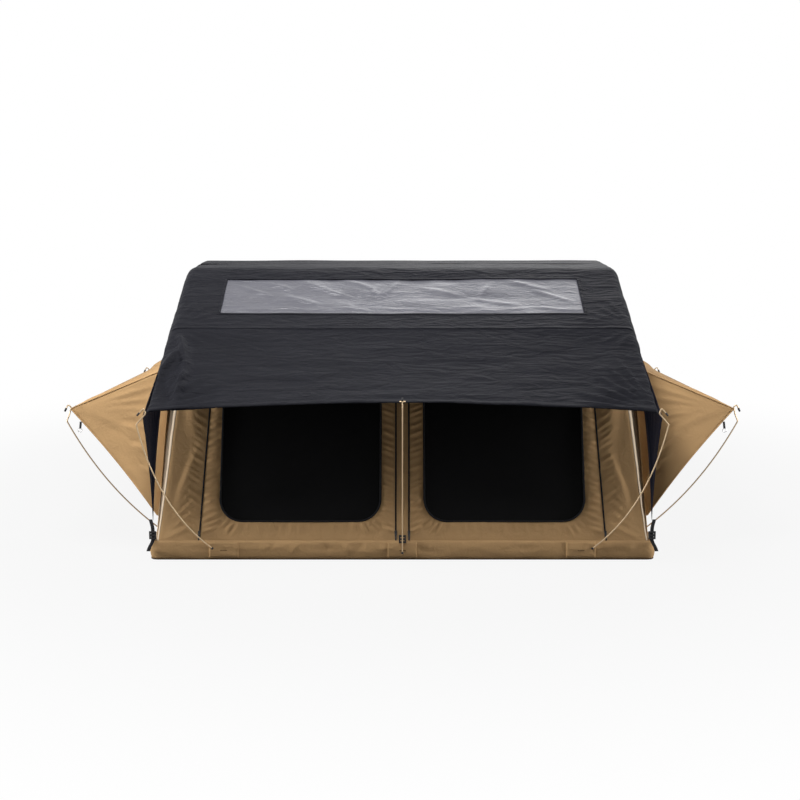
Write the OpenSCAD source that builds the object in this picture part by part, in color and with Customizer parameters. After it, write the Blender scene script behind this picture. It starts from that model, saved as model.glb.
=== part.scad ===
// Soft-shell roof top tent, unfolded: two hinged floor halves, a fan of four bows,
// a tan canvas body, a dark fly with a front awning, and a hood over each side window.
// The entry side faces -Y, the floor hinge runs along X, and the underside lies at z = 0.

/* [Base] */
// Width of the floor along its hinge
base_w = 2200; // [2100:10:2400]
// Depth of the unfolded floor
base_d = 2400; // [2360:10:2600]
// Height of the floor's edge frame
frame_h = 60; // [54:1:70]
// Width of the frame's flanges
frame_bar = 55; // [45:1:70]
// Wall of the frame section
frame_wall = 4; // [3:0.5:5]
// Thickness of the floor panels
floor_t = 25; // [18:1:27]
// Half the gap between the two frames at the hinge
seam_half = 3; // [2:0.5:5]
// Depth of the ledge that carries the front half's inner edge
ledge_d = 20; // [12:1:30]
// Thickness of the mattress halves
mattress_t = 54; // [40:1:56]
// Distance from the mattress to the frame's outer edge
mattress_inset = 60; // [58:1:90]
// Height of the skirt's top edge
skirt_top = 85; // [78:1:95]
// Thickness of the skirt
skirt_t = 3; // [2:0.5:4]
// Height of the skirt's lower edge
skirt_foot = 4; // [2:1:10]

/* [Mounting rails] */
// Length of a rail
rail_len = 2000; // [1600:10:2050]
// Width of a rail
rail_w = 40; // [36:1:60]
// Distance between the two rails
rail_spacing = 600; // [500:10:700]
// Width of the bolt slot's mouth
slot_mouth = 11; // [9:0.5:13]
// Width of the bolt slot inside
slot_inner = 20; // [16:0.5:24]
// Depth of the bolt slot inside
slot_depth = 10; // [8:0.5:12]
// Thickness of the slot's lips
slot_lip = 4; // [3:0.5:5]
// Diameter of the rail bolts
rail_bolt_d = 8; // [6:1:8]

/* [Fan frame] */
// Height of the fan pivot
pivot_z = 180; // [176:1:200]
// Diameter of the bow tubes
tube_d = 25; // [20:1:25]
// Distance between neighbouring bow legs
leg_gap = 2; // [1:0.5:4]
// Radius from the pivot to the lower bows
lower_bow_r = 1100; // [1090:5:1150]
// Radius from the pivot to the upper bows
upper_bow_r = 1040; // [1000:5:1050]
// Angle of the lower bows above the floor
lower_bow_angle = 45.2; // [42:0.2:48]
// Angle of the upper bows above the floor
upper_bow_angle = 76.4; // [72:0.2:80]
// Bend radius at the bow corners
bow_corner_r = 70; // [50:5:90]
// Diameter of the pivot pins
pin_d = 10; // [8:1:12]
// Thickness of the hinge plates
plate_t = 5; // [4:0.5:6]
// Outer radius of the hinge eyes
eye_r = 18; // [15:1:20]
// Length of the hinge feet
foot_l = 115; // [90:5:130]

/* [Canvas body] */
// Thickness of the canvas
canvas_t = 2; // [1.5:0.5:2.5]
// Width of the canvas body at the floor
body_foot_w = 2176; // [2160:2:2184]
// Width of the canvas body at the ridge
body_ridge_w = 2090; // [2088:2:2150]
// Width of a mesh window
window_w = 711; // [500:1:760]
// Height of a mesh window along the wall
window_h = 720; // [500:5:760]
// Corner radius of a mesh window
window_r = 85; // [40:5:120]
// Distance between the two windows
window_gap = 194; // [120:2:240]
// Distance from the floor frame up to the windows
window_sill = 110; // [90:5:140]
// Width that the mesh reaches past its window
mesh_lap = 12; // [8:1:20]

/* [Zips] */
// Width of the zips
zip_w = 8; // [6:0.5:12]
// Thickness of the zips
zip_t = 2; // [1.5:0.5:3]
// Length of the zips
zip_len = 860; // [600:10:880]
// Distance from the middle to the inner zips
zip_inner_x = 29; // [20:1:50]
// Distance from the middle to the outer zips at their foot
zip_outer_x = 896; // [880:1:960]
// Lean of the outer zips towards the middle
zip_lean = 2.6; // [0:0.2:4]
// Length of a zip slider
slider_l = 26; // [20:1:34]

/* [Fly and awning] */
// Thickness of the fly
fly_t = 1.5; // [1:0.5:2]
// Width of the fly at the ridge
fly_ridge_w = 2100; // [2096:2:2160]
// Width of the fly over the lower bows
fly_eave_w = 2130; // [2126:2:2180]
// Width of the awning's front edge
awning_w = 2150; // [2130:2:2200]
// Distance from the hinge to the awning's front edge
awning_reach = 1350; // [1300:5:1400]
// Height of the awning's edge at its middle
awning_z = 730; // [700:5:760]
// How far the awning's corners hang below its middle
awning_droop = 45; // [0:1:60]
// Width of the skylight
sky_w = 1700; // [1200:10:1900]
// Length of the skylight down the slope
sky_l = 330; // [200:5:380]
// Distance from the ridge to the skylight
sky_from_ridge = 115; // [80:5:160]
// Length of the fly's rear drop
rear_drop = 330; // [200:10:400]

/* [Side hoods] */
// How far a hood reaches out from the floor's edge
hood_out = 397; // [300:1:420]
// Height of a hood's seam on the wall
hood_top_z = 800; // [760:5:820]
// Height of a hood's front corner
hood_tip_z = 630; // [600:5:650]
// Height of a hood's rear corner
hood_rear_tip_z = 510; // [480:5:650]
// Distance from the hinge to a hood's outer corners
hood_tip_y = 950; // [930:5:1000]
// Height of a hood's foot on the wall
hood_foot_z = 170; // [150:5:200]

/* [Spring rods] */
// Diameter of the rods
rod_d = 6; // [4:0.5:7]
// Diameter of the rods' ball ends
ball_d = 12; // [10:0.5:14]
// Distance from the middle to the awning rods
awning_rod_x = 835; // [780:5:880]
// Height of the awning rods' feet
rod_foot_z = 55; // [45:1:60]
// Height of the middle rod's foot
mid_rod_foot_z = 35; // [25:1:38]
// Distance from the hinge to the hood rods
hood_rod_y = 900; // [800:10:950]

/* [Hidden] */
$fn = 48;

// Small distances between pieces
gap = 0.3;
run_gap = 0.06;
cut = 1;
seam_cloth = 0.25;

// Base, from its driving sizes
half_w = base_w / 2;
half_d = base_d / 2;
floor_top = frame_h - frame_wall;
rail_h = floor_top - floor_t;
mattress_z = frame_h + gap;
skirt_out_w = half_w + gap + skirt_t;
skirt_out_d = half_d + gap + skirt_t;

// Fan frame, from the outside of the stack to the inside
head_t = 4;
head_r = 9;
plate_edge = 44;
rear_plate_x = half_w - plate_edge;
front_plate_x = rear_plate_x + gap * 2 - 2 * plate_t;
leg_pitch = tube_d + leg_gap;
first_leg_x = front_plate_x - leg_gap - tube_d / 2;
function leg_x(i) = first_leg_x - i * leg_pitch;
pin_in_x = leg_x(3) - tube_d / 2 - leg_gap;
nut_t = 7;

// Hinge feet on the frames, and their bolts
plate_foot_t = 6;
foot_start = 15;
foot_edge = 20;
eye_web = 0.9;
plate_bolt_d = 8;
plate_bolt_edge = 30;
plate_bolt_x = half_w - plate_bolt_edge;
plate_bolt_head = 5;
plate_bolt_spots = [0.45, 0.85];

// Profile of the cloth, as y and z, seen from the +X side with the front to the left
bow_clear = 3.5;
bow_cover = tube_d / 2 + bow_clear;
cloth_lift = 1;
mitre = 1.1;
function out_from_pivot(r, a) = [-r * cos(a), pivot_z + r * sin(a)];
function lower_point(extra) = out_from_pivot(lower_bow_r + bow_cover + extra, lower_bow_angle);
function upper_point(extra) = out_from_pivot(upper_bow_r + bow_cover + extra, upper_bow_angle);
function foot_point(extra) = [-(half_d - canvas_t - cloth_lift + extra), frame_h + cloth_lift];
function seam_point(extra) = [-seam_cloth, upper_point(extra)[1]];
canvas_out = canvas_t * mitre;
fly_gap = 0.6;
fly_in = canvas_out + fly_gap;
fly_out = fly_in + fly_t;
wall_foot = foot_point(canvas_out);
wall_head = lower_point(canvas_out);
wall_vector = wall_head - wall_foot;
wall_angle = atan2(wall_vector[1], wall_vector[0]);
function wall_y(z) = wall_foot[0] + (z - wall_foot[1]) * wall_vector[0] / wall_vector[1];
ridge_z = upper_point(canvas_out)[1];
function body_x(z) = body_foot_w / 2
    + (body_ridge_w - body_foot_w) / 2 * (z - wall_foot[1]) / (ridge_z - wall_foot[1]);
body_reach = max(body_foot_w, body_ridge_w) / 2 + cut;

// Windows and mesh
window_x = (window_gap + window_w) / 2;
mesh_t = 1;

// Fly rows as y and z
fly_ridge = upper_point(fly_out);
fly_eave = lower_point(fly_out);
slope = fly_eave - fly_ridge;
slope_len = norm(slope);
awning_edge = [-awning_reach, awning_z];
rear_edge = fly_eave + [-1, -tan(wall_angle)] * rear_drop * cos(wall_angle);

// Skylight, as columns across and shares of the slope
sky_cells = 8;
sky_clear = 0.8;
sky_columns = [for (k = [0 : sky_cells]) (k / sky_cells - 0.5) * sky_w];
sky_from = sky_from_ridge / slope_len;
sky_to = (sky_from_ridge + sky_l) / slope_len;

// Dark cheeks under the awning's ends
cheek_t = 1.2;
cheek_drop = 14;
cheek_out = 3;
cheek_ahead = 2;
cheek_corner_in = 4;
cheek_corner_drop = 6;

// Corner straps and buckles
strap_edge = 6;
strap_x = half_w - strap_edge;
strap_w = 25;
strap_t = 2;
strap_top = 172;
strap_foot = 40;
buckle_w = 32;
buckle_h = 30;
buckle_t = 7;
buckle_z = 98;
middle_buckle_z = skirt_top - 18;

// Zips on the wall
zip_foot = 32;
slider_start = 8;
slider_lap = 2;
slider_t = 5;

// Hoods, on the outside of the side walls
hood_tip_x = half_w + hood_out;
hood_mid_z = (hood_tip_z + hood_rear_tip_z) / 2;
hood_off = 0.8;
hood_back = 8;
hood_t = [0, 1.2, -1.4];
hood_seam_t = [0, 0, hood_t[2]];

// Rod sockets and the rods' feet
socket_r = 9;
socket_pin_r = 4;
socket_out = 7;
ball_out = 4.5;
ball_r = ball_d / 2;
foot_out = skirt_t + gap + socket_out + ball_out;

// Rods in x and z: bends from the foot's height, shoulders and hooks from the cloth's corner
rod_sides = 8;
rod_steps = 10;
ball_angles = [20 : 26 : 150];
rod_ahead = 7;
awning_bend = [-20, 195];
awning_shoulder = [48, -48];
awning_hook = [16, 8];
middle_shoulder = -20;
middle_hook = 2;
hood_bend = [-138, 200];
hood_bend_ahead = 5;
hood_shoulder = [17, -55];
hood_hook = [11, -12];

// Caps on the hooks
cap_r = 5.5;
cap_back = 9;
cap_front = 6;
cap_round = 2;

// Paints
tan_canvas = "#b08f66";
dark_fly = "#3a3d44";
navy = "#1b1e28";
mesh_black = "#141416";
silver = "#b9bcc0";
steel = "#8d8f92";
black = "#1c1c1e";
foam = "#c9c7bd";
ply = "#9c9a92";

// Points of a rounded rectangle that stands on y = 0
function round_rect(w, h, r) = [
    for (c = [[1, 1, 0], [-1, 1, 90], [-1, -1, 180], [1, -1, 270]])
        for (a = [0 : 15 : 90])
            [c[0] * (w / 2 - r) + r * cos(c[2] + a), h / 2 + c[1] * (h / 2 - r) + r * sin(c[2] + a)]
];

// Extrudes a y-z outline along X
module along_x(x0, x1) {
    translate([x0, 0, 0])
        rotate([90, 0, 90])
            linear_extrude(height = x1 - x0)
                children();
}

// Places a flat drawing on the outer face of the front wall, x across and y up the slope
module on_wall() {
    translate([0, wall_foot[0], wall_foot[1]])
        rotate([wall_angle, 0, 0])
            children();
}

module both_sides() {
    children();
    mirror([1, 0, 0])
        children();
}

// Space between the two leaning side walls, less a distance from them
module body_space(less) {
    foot = body_foot_w / 2 - less;
    top = body_ridge_w / 2 - less;
    rotate([90, 0, 0])
        linear_extrude(height = 2 * base_d, center = true)
            polygon([
                [-foot, wall_foot[1]],
                [foot, wall_foot[1]],
                [top, ridge_z + cut],
                [-top, ridge_z + cut]
            ]);
}

// Cloth between an inner and an outer row of y-z points
module cloth_strip(inner, outer) {
    n = len(outer);
    along_x(-body_reach, body_reach)
        polygon(concat(inner, [for (i = [n - 1 : -1 : 0]) outer[i]]));
}

// Thin sheet from a clockwise loop of corners, its triangles and a thickness vector for each corner
module folded_sheet(loop, tris, backs) {
    n = len(loop);
    polyhedron(
        points = concat(loop, loop + backs),
        faces = concat(
            tris,
            [for (t = tris) [t[2] + n, t[1] + n, t[0] + n]],
            [for (i = [0 : n - 1]) let (j = (i + 1) % n) each [[j, i, i + n], [j, i + n, j + n]]]
        )
    );
}

// Sheet over a grid of points, thickened towards the pivot, with a block of cells left open
module grid_sheet(rows, t, open) {
    nr = len(rows);
    nc = len(rows[0]);
    n = nr * nc;
    function at(i, j) = i * nc + j;
    function filled(i, j) = i >= 0 && j >= 0 && i < nr - 1 && j < nc - 1
        && !(len(open) == 4 && i >= open[0] && i < open[1] && j >= open[2] && j < open[3]);
    function inward(p) = let (d = [0, p[1], p[2] - pivot_z]) p - t * d / norm(d);
    function side(p, q) = [[q, p, p + n], [q, p + n, q + n]];
    front = [for (r = rows) each r];
    polyhedron(
        points = concat(front, [for (p = front) inward(p)]),
        faces = [
            for (i = [0 : nr - 2])
                for (j = [0 : nc - 2])
                    if (filled(i, j))
                        let (a = at(i, j), b = at(i, j + 1), c = at(i + 1, j + 1), d = at(i + 1, j))
                            each concat(
                                [[a, b, c], [a, c, d], [c + n, b + n, a + n], [d + n, c + n, a + n]],
                                filled(i - 1, j) ? [] : side(a, b),
                                filled(i, j + 1) ? [] : side(b, c),
                                filled(i + 1, j) ? [] : side(c, d),
                                filled(i, j - 1) ? [] : side(d, a)
                            )
        ]
    );
}

// Tube swept along points, with a radius for each
module swept_rod(path, radii, across) {
    n = len(path);
    k = rod_sides;
    function along(i) = path[min(i + 1, n - 1)] - path[max(i - 1, 0)];
    function u(i) = let (c = cross(along(i), across)) c / norm(c);
    function v(i) = let (c = cross(along(i), u(i))) c / norm(c);
    polyhedron(
        points = [
            for (i = [0 : n - 1])
                for (s = [0 : k - 1])
                    path[i] + radii[i] * (cos(s * 360 / k) * u(i) + sin(s * 360 / k) * v(i))
        ],
        faces = concat(
            [
                for (i = [0 : n - 2])
                    for (s = [0 : k - 1])
                        let (a = i * k + s, b = i * k + (s + 1) % k)
                            each [[a, a + k, b + k], [a, b + k, b]]
            ],
            [for (s = [1 : k - 2]) [0, s, s + 1]],
            [for (s = [1 : k - 2]) let (e = (n - 1) * k) [e, e + s + 1, e + s]]
        )
    );
}

function bend(p, q, r, t) = (1 - t) * (1 - t) * p + 2 * t * (1 - t) * q + t * t * r;

// Spring rod with a ball foot, bent through its middle point, and a capped hook
module spring_rod(foot, middle, shoulder, hook, across) {
    r = rod_d / 2;
    start_dir = (middle - foot) / norm(middle - foot);
    hook_dir = (hook - shoulder) / norm(hook - shoulder);
    ball = [for (a = ball_angles) foot - ball_r * cos(a) * start_dir];
    arc = [for (i = [1 : rod_steps]) bend(foot, middle, shoulder, i / rod_steps)];
    tip = [for (d = [-cap_back - cut, -cap_back, cap_front, cap_front + cap_round]) hook + d * hook_dir];
    swept_rod(
        concat(ball, arc, tip),
        concat(
            [for (a = ball_angles) ball_r * sin(a)],
            [for (p = arc) r],
            [r, cap_r, cap_r, cap_r - cap_round]
        ),
        across
    );
}

module frame_ring(y0, y1) {
    difference() {
        translate([-half_w, y0, 0])
            cube([base_w, y1 - y0, frame_h]);
        translate([-half_w + frame_bar, y0 + frame_bar, -cut])
            cube([base_w - 2 * frame_bar, y1 - y0 - 2 * frame_bar, frame_h + 2 * cut]);
        translate([-half_w + frame_wall, y0 + frame_wall, frame_wall])
            cube([base_w - 2 * frame_wall, y1 - y0 - 2 * frame_wall, frame_h - 2 * frame_wall]);
        both_sides()
            plate_bolt_places(y0 < 0 ? -1 : 1)
                translate([0, 0, -plate_foot_t - frame_wall - cut])
                    cylinder(d = plate_bolt_d + 2 * gap, h = plate_foot_t + frame_wall + 2 * cut);
        sign = y0 < 0 ? -1 : 1;
        socket_places(sign)
            translate([0, 0, -frame_wall - cut])
                cylinder(r = socket_pin_r + gap, h = frame_wall + 2 * cut);
    }
}

module floor_panel(y0, y1) {
    edge = frame_wall + gap;
    translate([-half_w + edge, y0 + edge, rail_h])
        cube([base_w - 2 * edge, y1 - y0 - 2 * edge, floor_t]);
}

module mattress_pad(y0, y1) {
    translate([-half_w + mattress_inset, y0, mattress_z])
        cube([base_w - 2 * mattress_inset, y1 - y0, mattress_t]);
}

// Skirt round three sides of one half, with holes for the rod sockets
module skirt_band(sign) {
    y0 = seam_half / 2;
    difference() {
        mirror([0, sign < 0 ? 1 : 0, 0])
            difference() {
                translate([-skirt_out_w, y0, skirt_foot])
                    cube([2 * skirt_out_w, skirt_out_d - y0, skirt_top - skirt_foot]);
                translate([-half_w - gap, y0 - cut, 0])
                    cube([base_w + 2 * gap, half_d + gap - y0 + cut, skirt_top + cut]);
            }
        socket_places(sign)
            cylinder(r = socket_r + gap, h = 2 * skirt_t + socket_out);
    }
}

// Hinge plate with its foot on the frame; the foot lies on the side given by sign
module hinge_plate(sign, x) {
    foot_w = half_w - x - foot_edge;
    eye_y = eye_web * eye_r;
    mirror([0, sign < 0 ? 1 : 0, 0])
        difference() {
            union() {
                along_x(x, x + plate_t)
                    polygon([
                        [foot_start, frame_h],
                        [foot_start + foot_l, frame_h],
                        [foot_start + foot_l, frame_h + plate_foot_t],
                        [eye_y, pivot_z + eye_r - eye_y],
                        [-eye_y, pivot_z - eye_r + eye_y]
                    ]);
                translate([x, 0, pivot_z])
                    rotate([0, 90, 0])
                        cylinder(r = eye_r, h = plate_t);
                translate([x, foot_start, frame_h])
                    cube([foot_w, foot_l, plate_foot_t]);
            }
            translate([x - cut, 0, pivot_z])
                rotate([0, 90, 0])
                    cylinder(d = pin_d + 2 * run_gap, h = plate_t + 2 * cut);
            plate_bolt_places(1)
                translate([0, 0, -plate_foot_t - cut])
                    cylinder(d = plate_bolt_d + 2 * gap, h = plate_foot_t + 2 * cut);
        }
}

// Tops of the right hinge foot, where its bolts go down
module plate_bolt_places(sign) {
    for (t = plate_bolt_spots)
        translate([plate_bolt_x, sign * (foot_start + foot_l * t), frame_h + plate_foot_t])
            children();
}

module plate_bolts(sign) {
    both_sides()
        plate_bolt_places(sign) {
            translate([0, 0, -plate_foot_t - frame_wall])
                cylinder(d = plate_bolt_d, h = plate_foot_t + frame_wall + cut);
            cylinder(r = plate_bolt_d * 0.8, h = plate_bolt_head, $fn = 6);
        }
}

// Rod feet on the frame's faces, with z pointing out of the face
module socket_places(sign) {
    both_sides()
        translate([half_w, sign * hood_rod_y, rod_foot_z])
            rotate([0, 90, 0])
                children();
    if (sign < 0) {
        both_sides()
            translate([awning_rod_x, -half_d, rod_foot_z])
                rotate([90, 0, 0])
                    children();
        translate([0, -half_d, mid_rod_foot_z])
            rotate([90, 0, 0])
                children();
    }
}

module rod_sockets(sign) {
    mouth = skirt_t + gap + socket_out;
    socket_places(sign)
        difference() {
            union() {
                cylinder(r = socket_r, h = mouth);
                translate([0, 0, -frame_wall])
                    cylinder(r = socket_pin_r, h = frame_wall + cut);
            }
            translate([0, 0, mouth + ball_out])
                sphere(r = ball_r + gap);
        }
}

// U-shaped bow standing in its own plane, turned to its angle about the pivot
module bow(i, r, a) {
    x = leg_x(i);
    tr = tube_d / 2;
    cr = bow_corner_r;
    translate([0, 0, pivot_z])
        rotate([a - 90, 0, 0])
            difference() {
                union() {
                    both_sides() {
                        translate([x, 0, -tr])
                            cylinder(r = tr, h = r - cr + tr);
                        translate([x - cr, 0, r - cr])
                            rotate([90, 0, 0])
                                rotate_extrude(angle = 90)
                                    translate([cr, 0])
                                        circle(r = tr);
                    }
                    translate([-x + cr, 0, r])
                        rotate([0, 90, 0])
                            cylinder(r = tr, h = 2 * (x - cr));
                }
                translate([-x - tube_d, 0, 0])
                    rotate([0, 90, 0])
                        cylinder(d = pin_d + 2 * run_gap, h = 2 * (x + tube_d));
            }
}

// Front or rear wall with its two windows
module window_wall() {
    difference() {
        intersection() {
            cloth_strip([foot_point(0), lower_point(0)], [wall_foot, wall_head]);
            body_space(canvas_t);
        }
        for (s = [-1, 1])
            on_wall()
                translate([s * window_x, window_sill, -4 * canvas_t])
                    linear_extrude(height = 8 * canvas_t)
                        polygon(round_rect(window_w, window_h, window_r));
    }
}

module window_mesh(s) {
    on_wall()
        translate([s * window_x, window_sill - mesh_lap, -canvas_out - mesh_t - gap / 2])
            linear_extrude(height = mesh_t)
                polygon(round_rect(window_w + 2 * mesh_lap, window_h + 2 * mesh_lap, window_r + mesh_lap));
}

// Leaning side wall of the front half
module side_wall(s) {
    mirror([s < 0 ? 1 : 0, 0, 0])
        intersection() {
            along_x(0, body_reach)
                polygon([
                    wall_foot,
                    wall_head,
                    upper_point(canvas_out),
                    seam_point(canvas_out),
                    [-seam_cloth, wall_foot[1]]
                ]);
            difference() {
                body_space(0);
                body_space(canvas_t);
            }
        }
}

module roof_canvas() {
    intersection() {
        cloth_strip(
            [lower_point(0), upper_point(0), seam_point(0)],
            [wall_head, upper_point(canvas_out), seam_point(canvas_out)]
        );
        body_space(canvas_t);
    }
}

function fly_row(p, w, droop) = [
    for (x = concat([-w / 2], sky_columns, [w / 2]))
        [x, p[0], p[1] - droop * pow(2 * x / w, 2)]
];

function fly_width(t) = fly_ridge_w + (fly_eave_w - fly_ridge_w) * t;

// Front half of the fly, which runs on past the lower bow as the awning
module front_fly_sheet() {
    awning_steps = 3;
    grid_sheet(
        concat(
            [fly_row([-seam_cloth, fly_ridge[1]], fly_ridge_w, 0)],
            [for (t = [0, sky_from, sky_to, 1]) fly_row(fly_ridge + t * slope, fly_width(t), 0)],
            [
                for (i = [1 : awning_steps])
                    let (t = i / awning_steps)
                        fly_row(
                            fly_eave + t * (awning_edge - fly_eave),
                            fly_eave_w + t * (awning_w - fly_eave_w),
                            awning_droop * t
                        )
            ]
        ),
        fly_t,
        [2, 3, 1, len(sky_columns)]
    );
}

module rear_fly_sheet() {
    grid_sheet(
        [
            fly_row([-seam_cloth, fly_ridge[1]], fly_ridge_w, 0),
            fly_row(fly_ridge, fly_ridge_w, 0),
            fly_row(fly_eave, fly_eave_w, 0),
            fly_row(rear_edge, fly_eave_w, 0)
        ],
        fly_t,
        []
    );
}

// Dark cheek under the awning's right edge
module awning_cheek() {
    top_z = wall_head[1] - cheek_drop;
    corner_z = awning_z - awning_droop - cheek_corner_drop;
    folded_sheet(
        [
            [body_x(top_z) + cheek_out, wall_y(top_z) - cheek_ahead, top_z],
            [awning_w / 2 - cheek_corner_in, -awning_reach + cheek_corner_in, corner_z],
            [strap_x, -skirt_out_d - cheek_ahead, strap_top]
        ],
        [[0, 1, 2]],
        [for (i = [0 : 2]) [-cheek_t, 0, 0]]
    );
}

module strap_buckle(x, z) {
    slot_h = buckle_h / 5;
    y0 = -skirt_out_d - gap - strap_t - gap;
    translate([x, y0, z])
        difference() {
            translate([-buckle_w / 2, -buckle_t, 0])
                cube([buckle_w, buckle_t, buckle_h]);
            for (t = [1, 3])
                translate([-strap_w / 2, -buckle_t - cut, t * slot_h])
                    cube([strap_w, buckle_t + 2 * cut, slot_h]);
        }
}

// Front half of the right hood: half of the top panel and the front cheek
module hood_half(tip_z) {
    function on_edge(z) = [body_x(z) + hood_off, wall_y(z) + hood_back, z];
    top = on_edge(hood_top_z);
    foot = on_edge(hood_foot_z);
    corner = [hood_tip_x, -hood_tip_y, tip_z];
    folded_sheet(
        [[top[0], -seam_cloth, hood_top_z], [hood_tip_x, -seam_cloth, hood_mid_z], corner, foot, top],
        [[0, 1, 2], [0, 2, 4], [4, 2, 3]],
        [hood_seam_t, hood_seam_t, hood_t, hood_t, hood_t]
    );
}

// Right rod under the awning's corner
module awning_side_rod() {
    x0 = awning_rod_x;
    y0 = -half_d - foot_out;
    x1 = awning_w / 2;
    y1 = -awning_reach - rod_ahead;
    z1 = awning_z - awning_droop;
    spring_rod(
        [x0, y0, rod_foot_z],
        [x1 + awning_bend[0], (y0 + y1) / 2, rod_foot_z + awning_bend[1]],
        [x1 + awning_shoulder[0], y1, z1 + awning_shoulder[1]],
        [x1 + awning_hook[0], y1, z1 + awning_hook[1]],
        [0, 1, 0]
    );
}

module awning_middle_rod() {
    y0 = -half_d - foot_out;
    y1 = -awning_reach - rod_ahead;
    z1 = awning_z + middle_shoulder;
    spring_rod(
        [0, y0, mid_rod_foot_z],
        [0, (y0 + y1) / 2, (mid_rod_foot_z + z1) / 2],
        [0, y1, z1],
        [0, y1, awning_z + middle_hook],
        [1, 0, 0]
    );
}

// Front right rod of a hood
module hood_side_rod(tip_z) {
    x0 = half_w + foot_out;
    x1 = hood_tip_x;
    y1 = -hood_tip_y - rod_ahead;
    spring_rod(
        [x0, -hood_rod_y, rod_foot_z],
        [x1 + hood_bend[0], -(hood_rod_y + hood_tip_y) / 2 - hood_bend_ahead, rod_foot_z + hood_bend[1]],
        [x1 + hood_shoulder[0], y1, tip_z + hood_shoulder[1]],
        [x1 + hood_hook[0], y1, tip_z + hood_hook[1]],
        [0, 1, 0]
    );
}

// Right zips as places on the wall, with y up the zip
module zip_place(outer) {
    on_wall()
        translate([outer ? zip_outer_x : zip_inner_x, zip_foot, 0])
            rotate([0, 0, outer ? zip_lean : 0])
                children();
}

module zip_slider(outer) {
    body_w = zip_w + 2 * slider_lap;
    color(black)
        zip_place(outer)
            translate([-body_w / 2, slider_start, zip_t + gap])
                cube([body_w, slider_l, slider_t]);
}

module rear_frame() {
    color(silver) {
        frame_ring(seam_half, half_d);
        translate([-half_w, -ledge_d, 0])
            cube([base_w, ledge_d + seam_half + frame_wall, frame_wall]);
    }
}

module front_frame() {
    color(silver)
        difference() {
            frame_ring(-half_d, -seam_half);
            translate([-half_w - cut, -ledge_d - gap, -cut])
                cube([base_w + 2 * cut, ledge_d + cut, frame_wall + gap + cut]);
        }
}

module rear_floor() {
    color(ply)
        difference() {
            floor_panel(seam_half, half_d);
            rail_bolt_places()
                translate([0, 0, -floor_t - cut])
                    cylinder(d = rail_bolt_d + 2 * gap, h = floor_t + 2 * cut);
        }
}

module front_floor() {
    color(ply)
        floor_panel(-half_d, -seam_half);
}

module rear_mattress() {
    color(foam)
        mattress_pad(seam_half, half_d - mattress_inset);
}

module front_mattress() {
    color(foam)
        mattress_pad(-half_d + mattress_inset, -seam_half);
}

module mounting_rails() {
    color(silver)
        for (s = [-1, 1])
            difference() {
                translate([-rail_len / 2, half_d / 2 + s * rail_spacing / 2 - rail_w / 2, 0])
                    cube([rail_len, rail_w, rail_h]);
                translate([0, half_d / 2 + s * rail_spacing / 2, 0]) {
                    translate([-rail_len / 2 - cut, -slot_mouth / 2, -cut])
                        cube([rail_len + 2 * cut, slot_mouth, slot_lip + 2 * cut]);
                    translate([-rail_len / 2 - cut, -slot_inner / 2, slot_lip])
                        cube([rail_len + 2 * cut, slot_inner, slot_depth]);
                }
                rail_bolt_places()
                    translate([0, 0, -floor_top])
                        cylinder(d = rail_bolt_d + 2 * gap, h = floor_top + cut);
            }
}

// Bolt heads' seats on the floor above the rails
module rail_bolt_places() {
    for (s = [-1, 1])
        for (t = [-0.9, -0.3, 0.3, 0.9])
            translate([t * rail_len / 2, half_d / 2 + s * rail_spacing / 2, floor_top])
                children();
}

module rail_bolts() {
    shank = floor_top - slot_lip - slot_depth;
    color(steel)
        rail_bolt_places() {
            translate([0, 0, -shank])
                cylinder(d = rail_bolt_d, h = shank + cut);
            cylinder(r = head_r, h = frame_wall - gap);
        }
}

module rear_hinge_plates() {
    color(silver)
        both_sides()
            hinge_plate(1, rear_plate_x);
}

module front_hinge_plates() {
    color(silver)
        both_sides()
            hinge_plate(-1, front_plate_x);
}

module rear_plate_bolts() {
    color(steel)
        plate_bolts(1);
}

module front_plate_bolts() {
    color(steel)
        plate_bolts(-1);
}

module pivot_pins() {
    color(steel)
        both_sides()
            translate([0, 0, pivot_z])
                rotate([0, 90, 0]) {
                    translate([0, 0, pin_in_x - nut_t])
                        cylinder(d = pin_d, h = rear_plate_x + plate_t + gap + cut - pin_in_x + nut_t);
                    translate([0, 0, rear_plate_x + plate_t + gap])
                        cylinder(r = head_r, h = head_t);
                }
}

module pivot_nuts() {
    color(steel)
        both_sides()
            translate([pin_in_x - nut_t, 0, pivot_z])
                rotate([0, 90, 0])
                    difference() {
                        cylinder(r = head_r, h = nut_t, $fn = 6);
                        translate([0, 0, -cut])
                            cylinder(d = pin_d + 2 * run_gap, h = nut_t + 2 * cut);
                    }
}

module seam_seal() {
    seal_h = frame_h / 2;
    color(black)
        translate([-half_w + frame_bar, -seam_half + gap, frame_h - seal_h])
            cube([base_w - 2 * frame_bar, 2 * seam_half - gap, seal_h]);
}

module rear_skirt() {
    color(tan_canvas)
        skirt_band(1);
}

module front_skirt() {
    color(tan_canvas)
        skirt_band(-1);
}

module rear_wall() {
    color(tan_canvas)
        mirror([0, 1, 0])
            window_wall();
}

module front_wall() {
    color(tan_canvas)
        window_wall();
}

module rear_mesh() {
    color(mesh_black)
        for (s = [-1, 1])
            mirror([0, 1, 0])
                window_mesh(s);
}

module left_window_mesh() {
    color(mesh_black)
        window_mesh(-1);
}

module right_window_mesh() {
    color(mesh_black)
        window_mesh(1);
}

module rear_side_wall_left() {
    color(tan_canvas)
        mirror([0, 1, 0])
            side_wall(-1);
}

module rear_side_wall_right() {
    color(tan_canvas)
        mirror([0, 1, 0])
            side_wall(1);
}

module front_side_wall_left() {
    color(tan_canvas)
        side_wall(-1);
}

module front_side_wall_right() {
    color(tan_canvas)
        side_wall(1);
}

module rear_roof() {
    color(tan_canvas)
        mirror([0, 1, 0])
            roof_canvas();
}

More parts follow.
